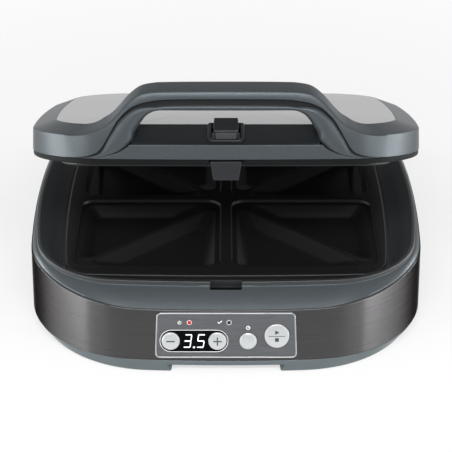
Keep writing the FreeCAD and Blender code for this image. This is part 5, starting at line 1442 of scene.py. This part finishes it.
# Front strip
# A narrow painted trim across the front of the lid under the finger gap. Its upper edge runs straight
# in the middle and sweeps down beside the arms of the handle.
STRIP_LOW, STRIP_TOP = 4.5, 16.6
STRIP_DEPTH = 2.95
SWEEP_START = 78.8
SWEEP = [(SWEEP_START, STRIP_TOP), (82.0, 13.9), (89.0, 10.0), (97.0, 7.4), (105.0, 5.7), (112.0, 4.9)]
STRIP_STEPS = 6
STRIP_THIN = 0.3
EDGE_TALL, EDGE_SHARE = 0.8, 0.4
STRAIGHT = [(x, STRIP_TOP) for x in range(-70, 71, 20)]
strip_tops = [(-x, t) for x, t in reversed(SWEEP)] + STRAIGHT + SWEEP
strip_rings = []
for k in range((len(strip_tops) - 1) * STRIP_STEPS + 1):
    x, top = smooth_point(strip_tops, k / STRIP_STEPS)
    top = max(top, STRIP_LOW + STRIP_THIN) if abs(x) > SWEEP_START else STRIP_TOP
    tall = min(EDGE_TALL, (top - STRIP_LOW) * EDGE_SHARE)
    section = ((STRIP_LOW, 0.2), (STRIP_LOW + 0.15, 0.0), (top - tall, 0.0), (top - 0.45 * tall, 0.12),
               (top - 0.12 * tall, 0.4), (top, 0.9), (top, STRIP_DEPTH), (STRIP_LOW, STRIP_DEPTH))
    strip_rings.append([on_wall(x * MM, t * MM, inset * MM) for t, inset in section])
fit(skin("front_strip", turned(strip_rings), loop=False), slate, "lid", "slate_plastic", "front_trim")

# Latch
# A hook of dark grey ABS hangs through the rim on a steel pin; the thumb button on its upper end shows in a
# rounded bezel in the finger recess. Pressing the button swings the hook clear of the catch.
PIN = Vector((0.0, LID["front"] + 0.010, 0.080))
MOULDED_DEG = 30.0
# Outlines seen from the side, rearwards and upwards from the pin
HOOK_OUTLINE = [(-0.0092, -0.0078), (-0.0092, -0.0222), (-0.0086, -0.0235), (-0.0042, -0.0235),
                (-0.0032, -0.0224), (-0.0032, -0.0210), (-0.0058, -0.0206), (-0.0058, -0.0100),
                (0.0010, -0.0060), (0.0040, -0.0010), (0.0040, 0.0010), (0.0, 0.0042), (-0.0042, 0.0),
                (-0.0058, -0.0074)]
CAP_OUTLINE = [(0.0003, 0.0153), (0.0004, 0.0167), (0.0060, 0.0222), (0.0114, 0.0262), (0.0120, 0.0222),
               (0.0035, 0.0145)]
NOSE_OUTLINE = [(0.0000, 0.0085), (0.0012, 0.0150), (0.0100, 0.0205), (0.0110, 0.0150), (0.0080, 0.0105),
                (0.0020, 0.0080)]
# Half widths at two heights, those heights, and the roundness of the edges
HOOK_WIDTHS = (0.0103, 0.0129, -0.0235, -0.0078, 0.0005)
CAP_WIDTHS = (0.0103, 0.0100, 0.0153, 0.0262, 0.0011)
NOSE_WIDTHS = (0.0090, 0.0090, 0.0, 0.02, 0.0008)


def side_solid(name, outline, widths):
    half_low, half_high, z_low, z_high, edge_round = widths
    points = []
    for side in (-1, 1):
        for y, z in outline:
            half = half_low + (half_high - half_low) * share_of(z, z_low, z_high)
            points.append(TURN_OPEN @ (PIN + Vector((side * half, y, z))))
    piece = make_piece(name, points, skin_faces(2, len(outline), True, False), MOULDED_DEG)
    soft = piece.modifiers.new("moulded_edges", "BEVEL")
    soft.width = edge_round
    soft.segments = 3
    soft.limit_method = "ANGLE"
    soft.angle_limit = math.radians(MOULDED_DEG)
    return piece


# Moulded ABS in dark grey: a low sheen that tells it from the black around it
dark_abs = grained("moulded_dark_grey_abs", "#1f2023", 0.4, grain=BLACK_GRAIN, gloss=(0.36, 0.46),
                   sockets={"Specular IOR Level": 0.28})
fit(side_solid("latch_hook", HOOK_OUTLINE, HOOK_WIDTHS), dark_abs, "latch", "slate_plastic", "latch_lever")
fit(side_solid("thumb_button_cap", CAP_OUTLINE, CAP_WIDTHS), dark_abs, "latch", "black_plastic",
    "latch_button")
fit(side_solid("thumb_button_nose", NOSE_OUTLINE, NOSE_WIDTHS), dark_abs, "latch", "black_plastic")

SLOPE_START = Vector((0.0, LID["front"] + 0.003, RIM_LOW + STRIP_TOP * MM))
SLOPE_RUN = 0.024
SLOPE_TOP = PANEL_EDGE - 0.0004
SLOPE_ANGLE = math.atan2(SLOPE_TOP - SLOPE_START.z, SLOPE_RUN)
BEZEL_PLACE = TURN_OPEN @ Matrix.Translation(SLOPE_START) @ Matrix.Rotation(SLOPE_ANGLE, 4, "X")
BEZEL_HALF = 0.0155
BEZEL_FRONT, BEZEL_REAR = 0.0024, 0.0276
REAR_BAR_SHARE = 0.3
BEZEL_ROUNDS = (0.0058, 0.0058, 0.0024, 0.0024)
LEAST_ROUND = 0.0008
BEZEL_SECTION = ((0.0, -0.0006), (0.0, 0.0008), (0.0003, 0.0016), (0.0010, 0.0021), (0.0020, 0.0022),
                 (0.0030, 0.0018), (0.0036, 0.0010), (0.0037, -0.0035), (0.0010, -0.0035))
bezel_rows = []
for inset, height in BEZEL_SECTION:
    corners = box_outline(BEZEL_HALF - inset, BEZEL_FRONT + inset, BEZEL_REAR - REAR_BAR_SHARE * inset)
    outline = rounded(corners, [max(LEAST_ROUND, r - inset) for r in BEZEL_ROUNDS])
    bezel_rows.append([BEZEL_PLACE @ p for p in flat_ring(outline, height)])
fit(skin("latch_bezel_moulding", bezel_rows), dark_abs, "lid", "black_plastic", "latch_bezel")
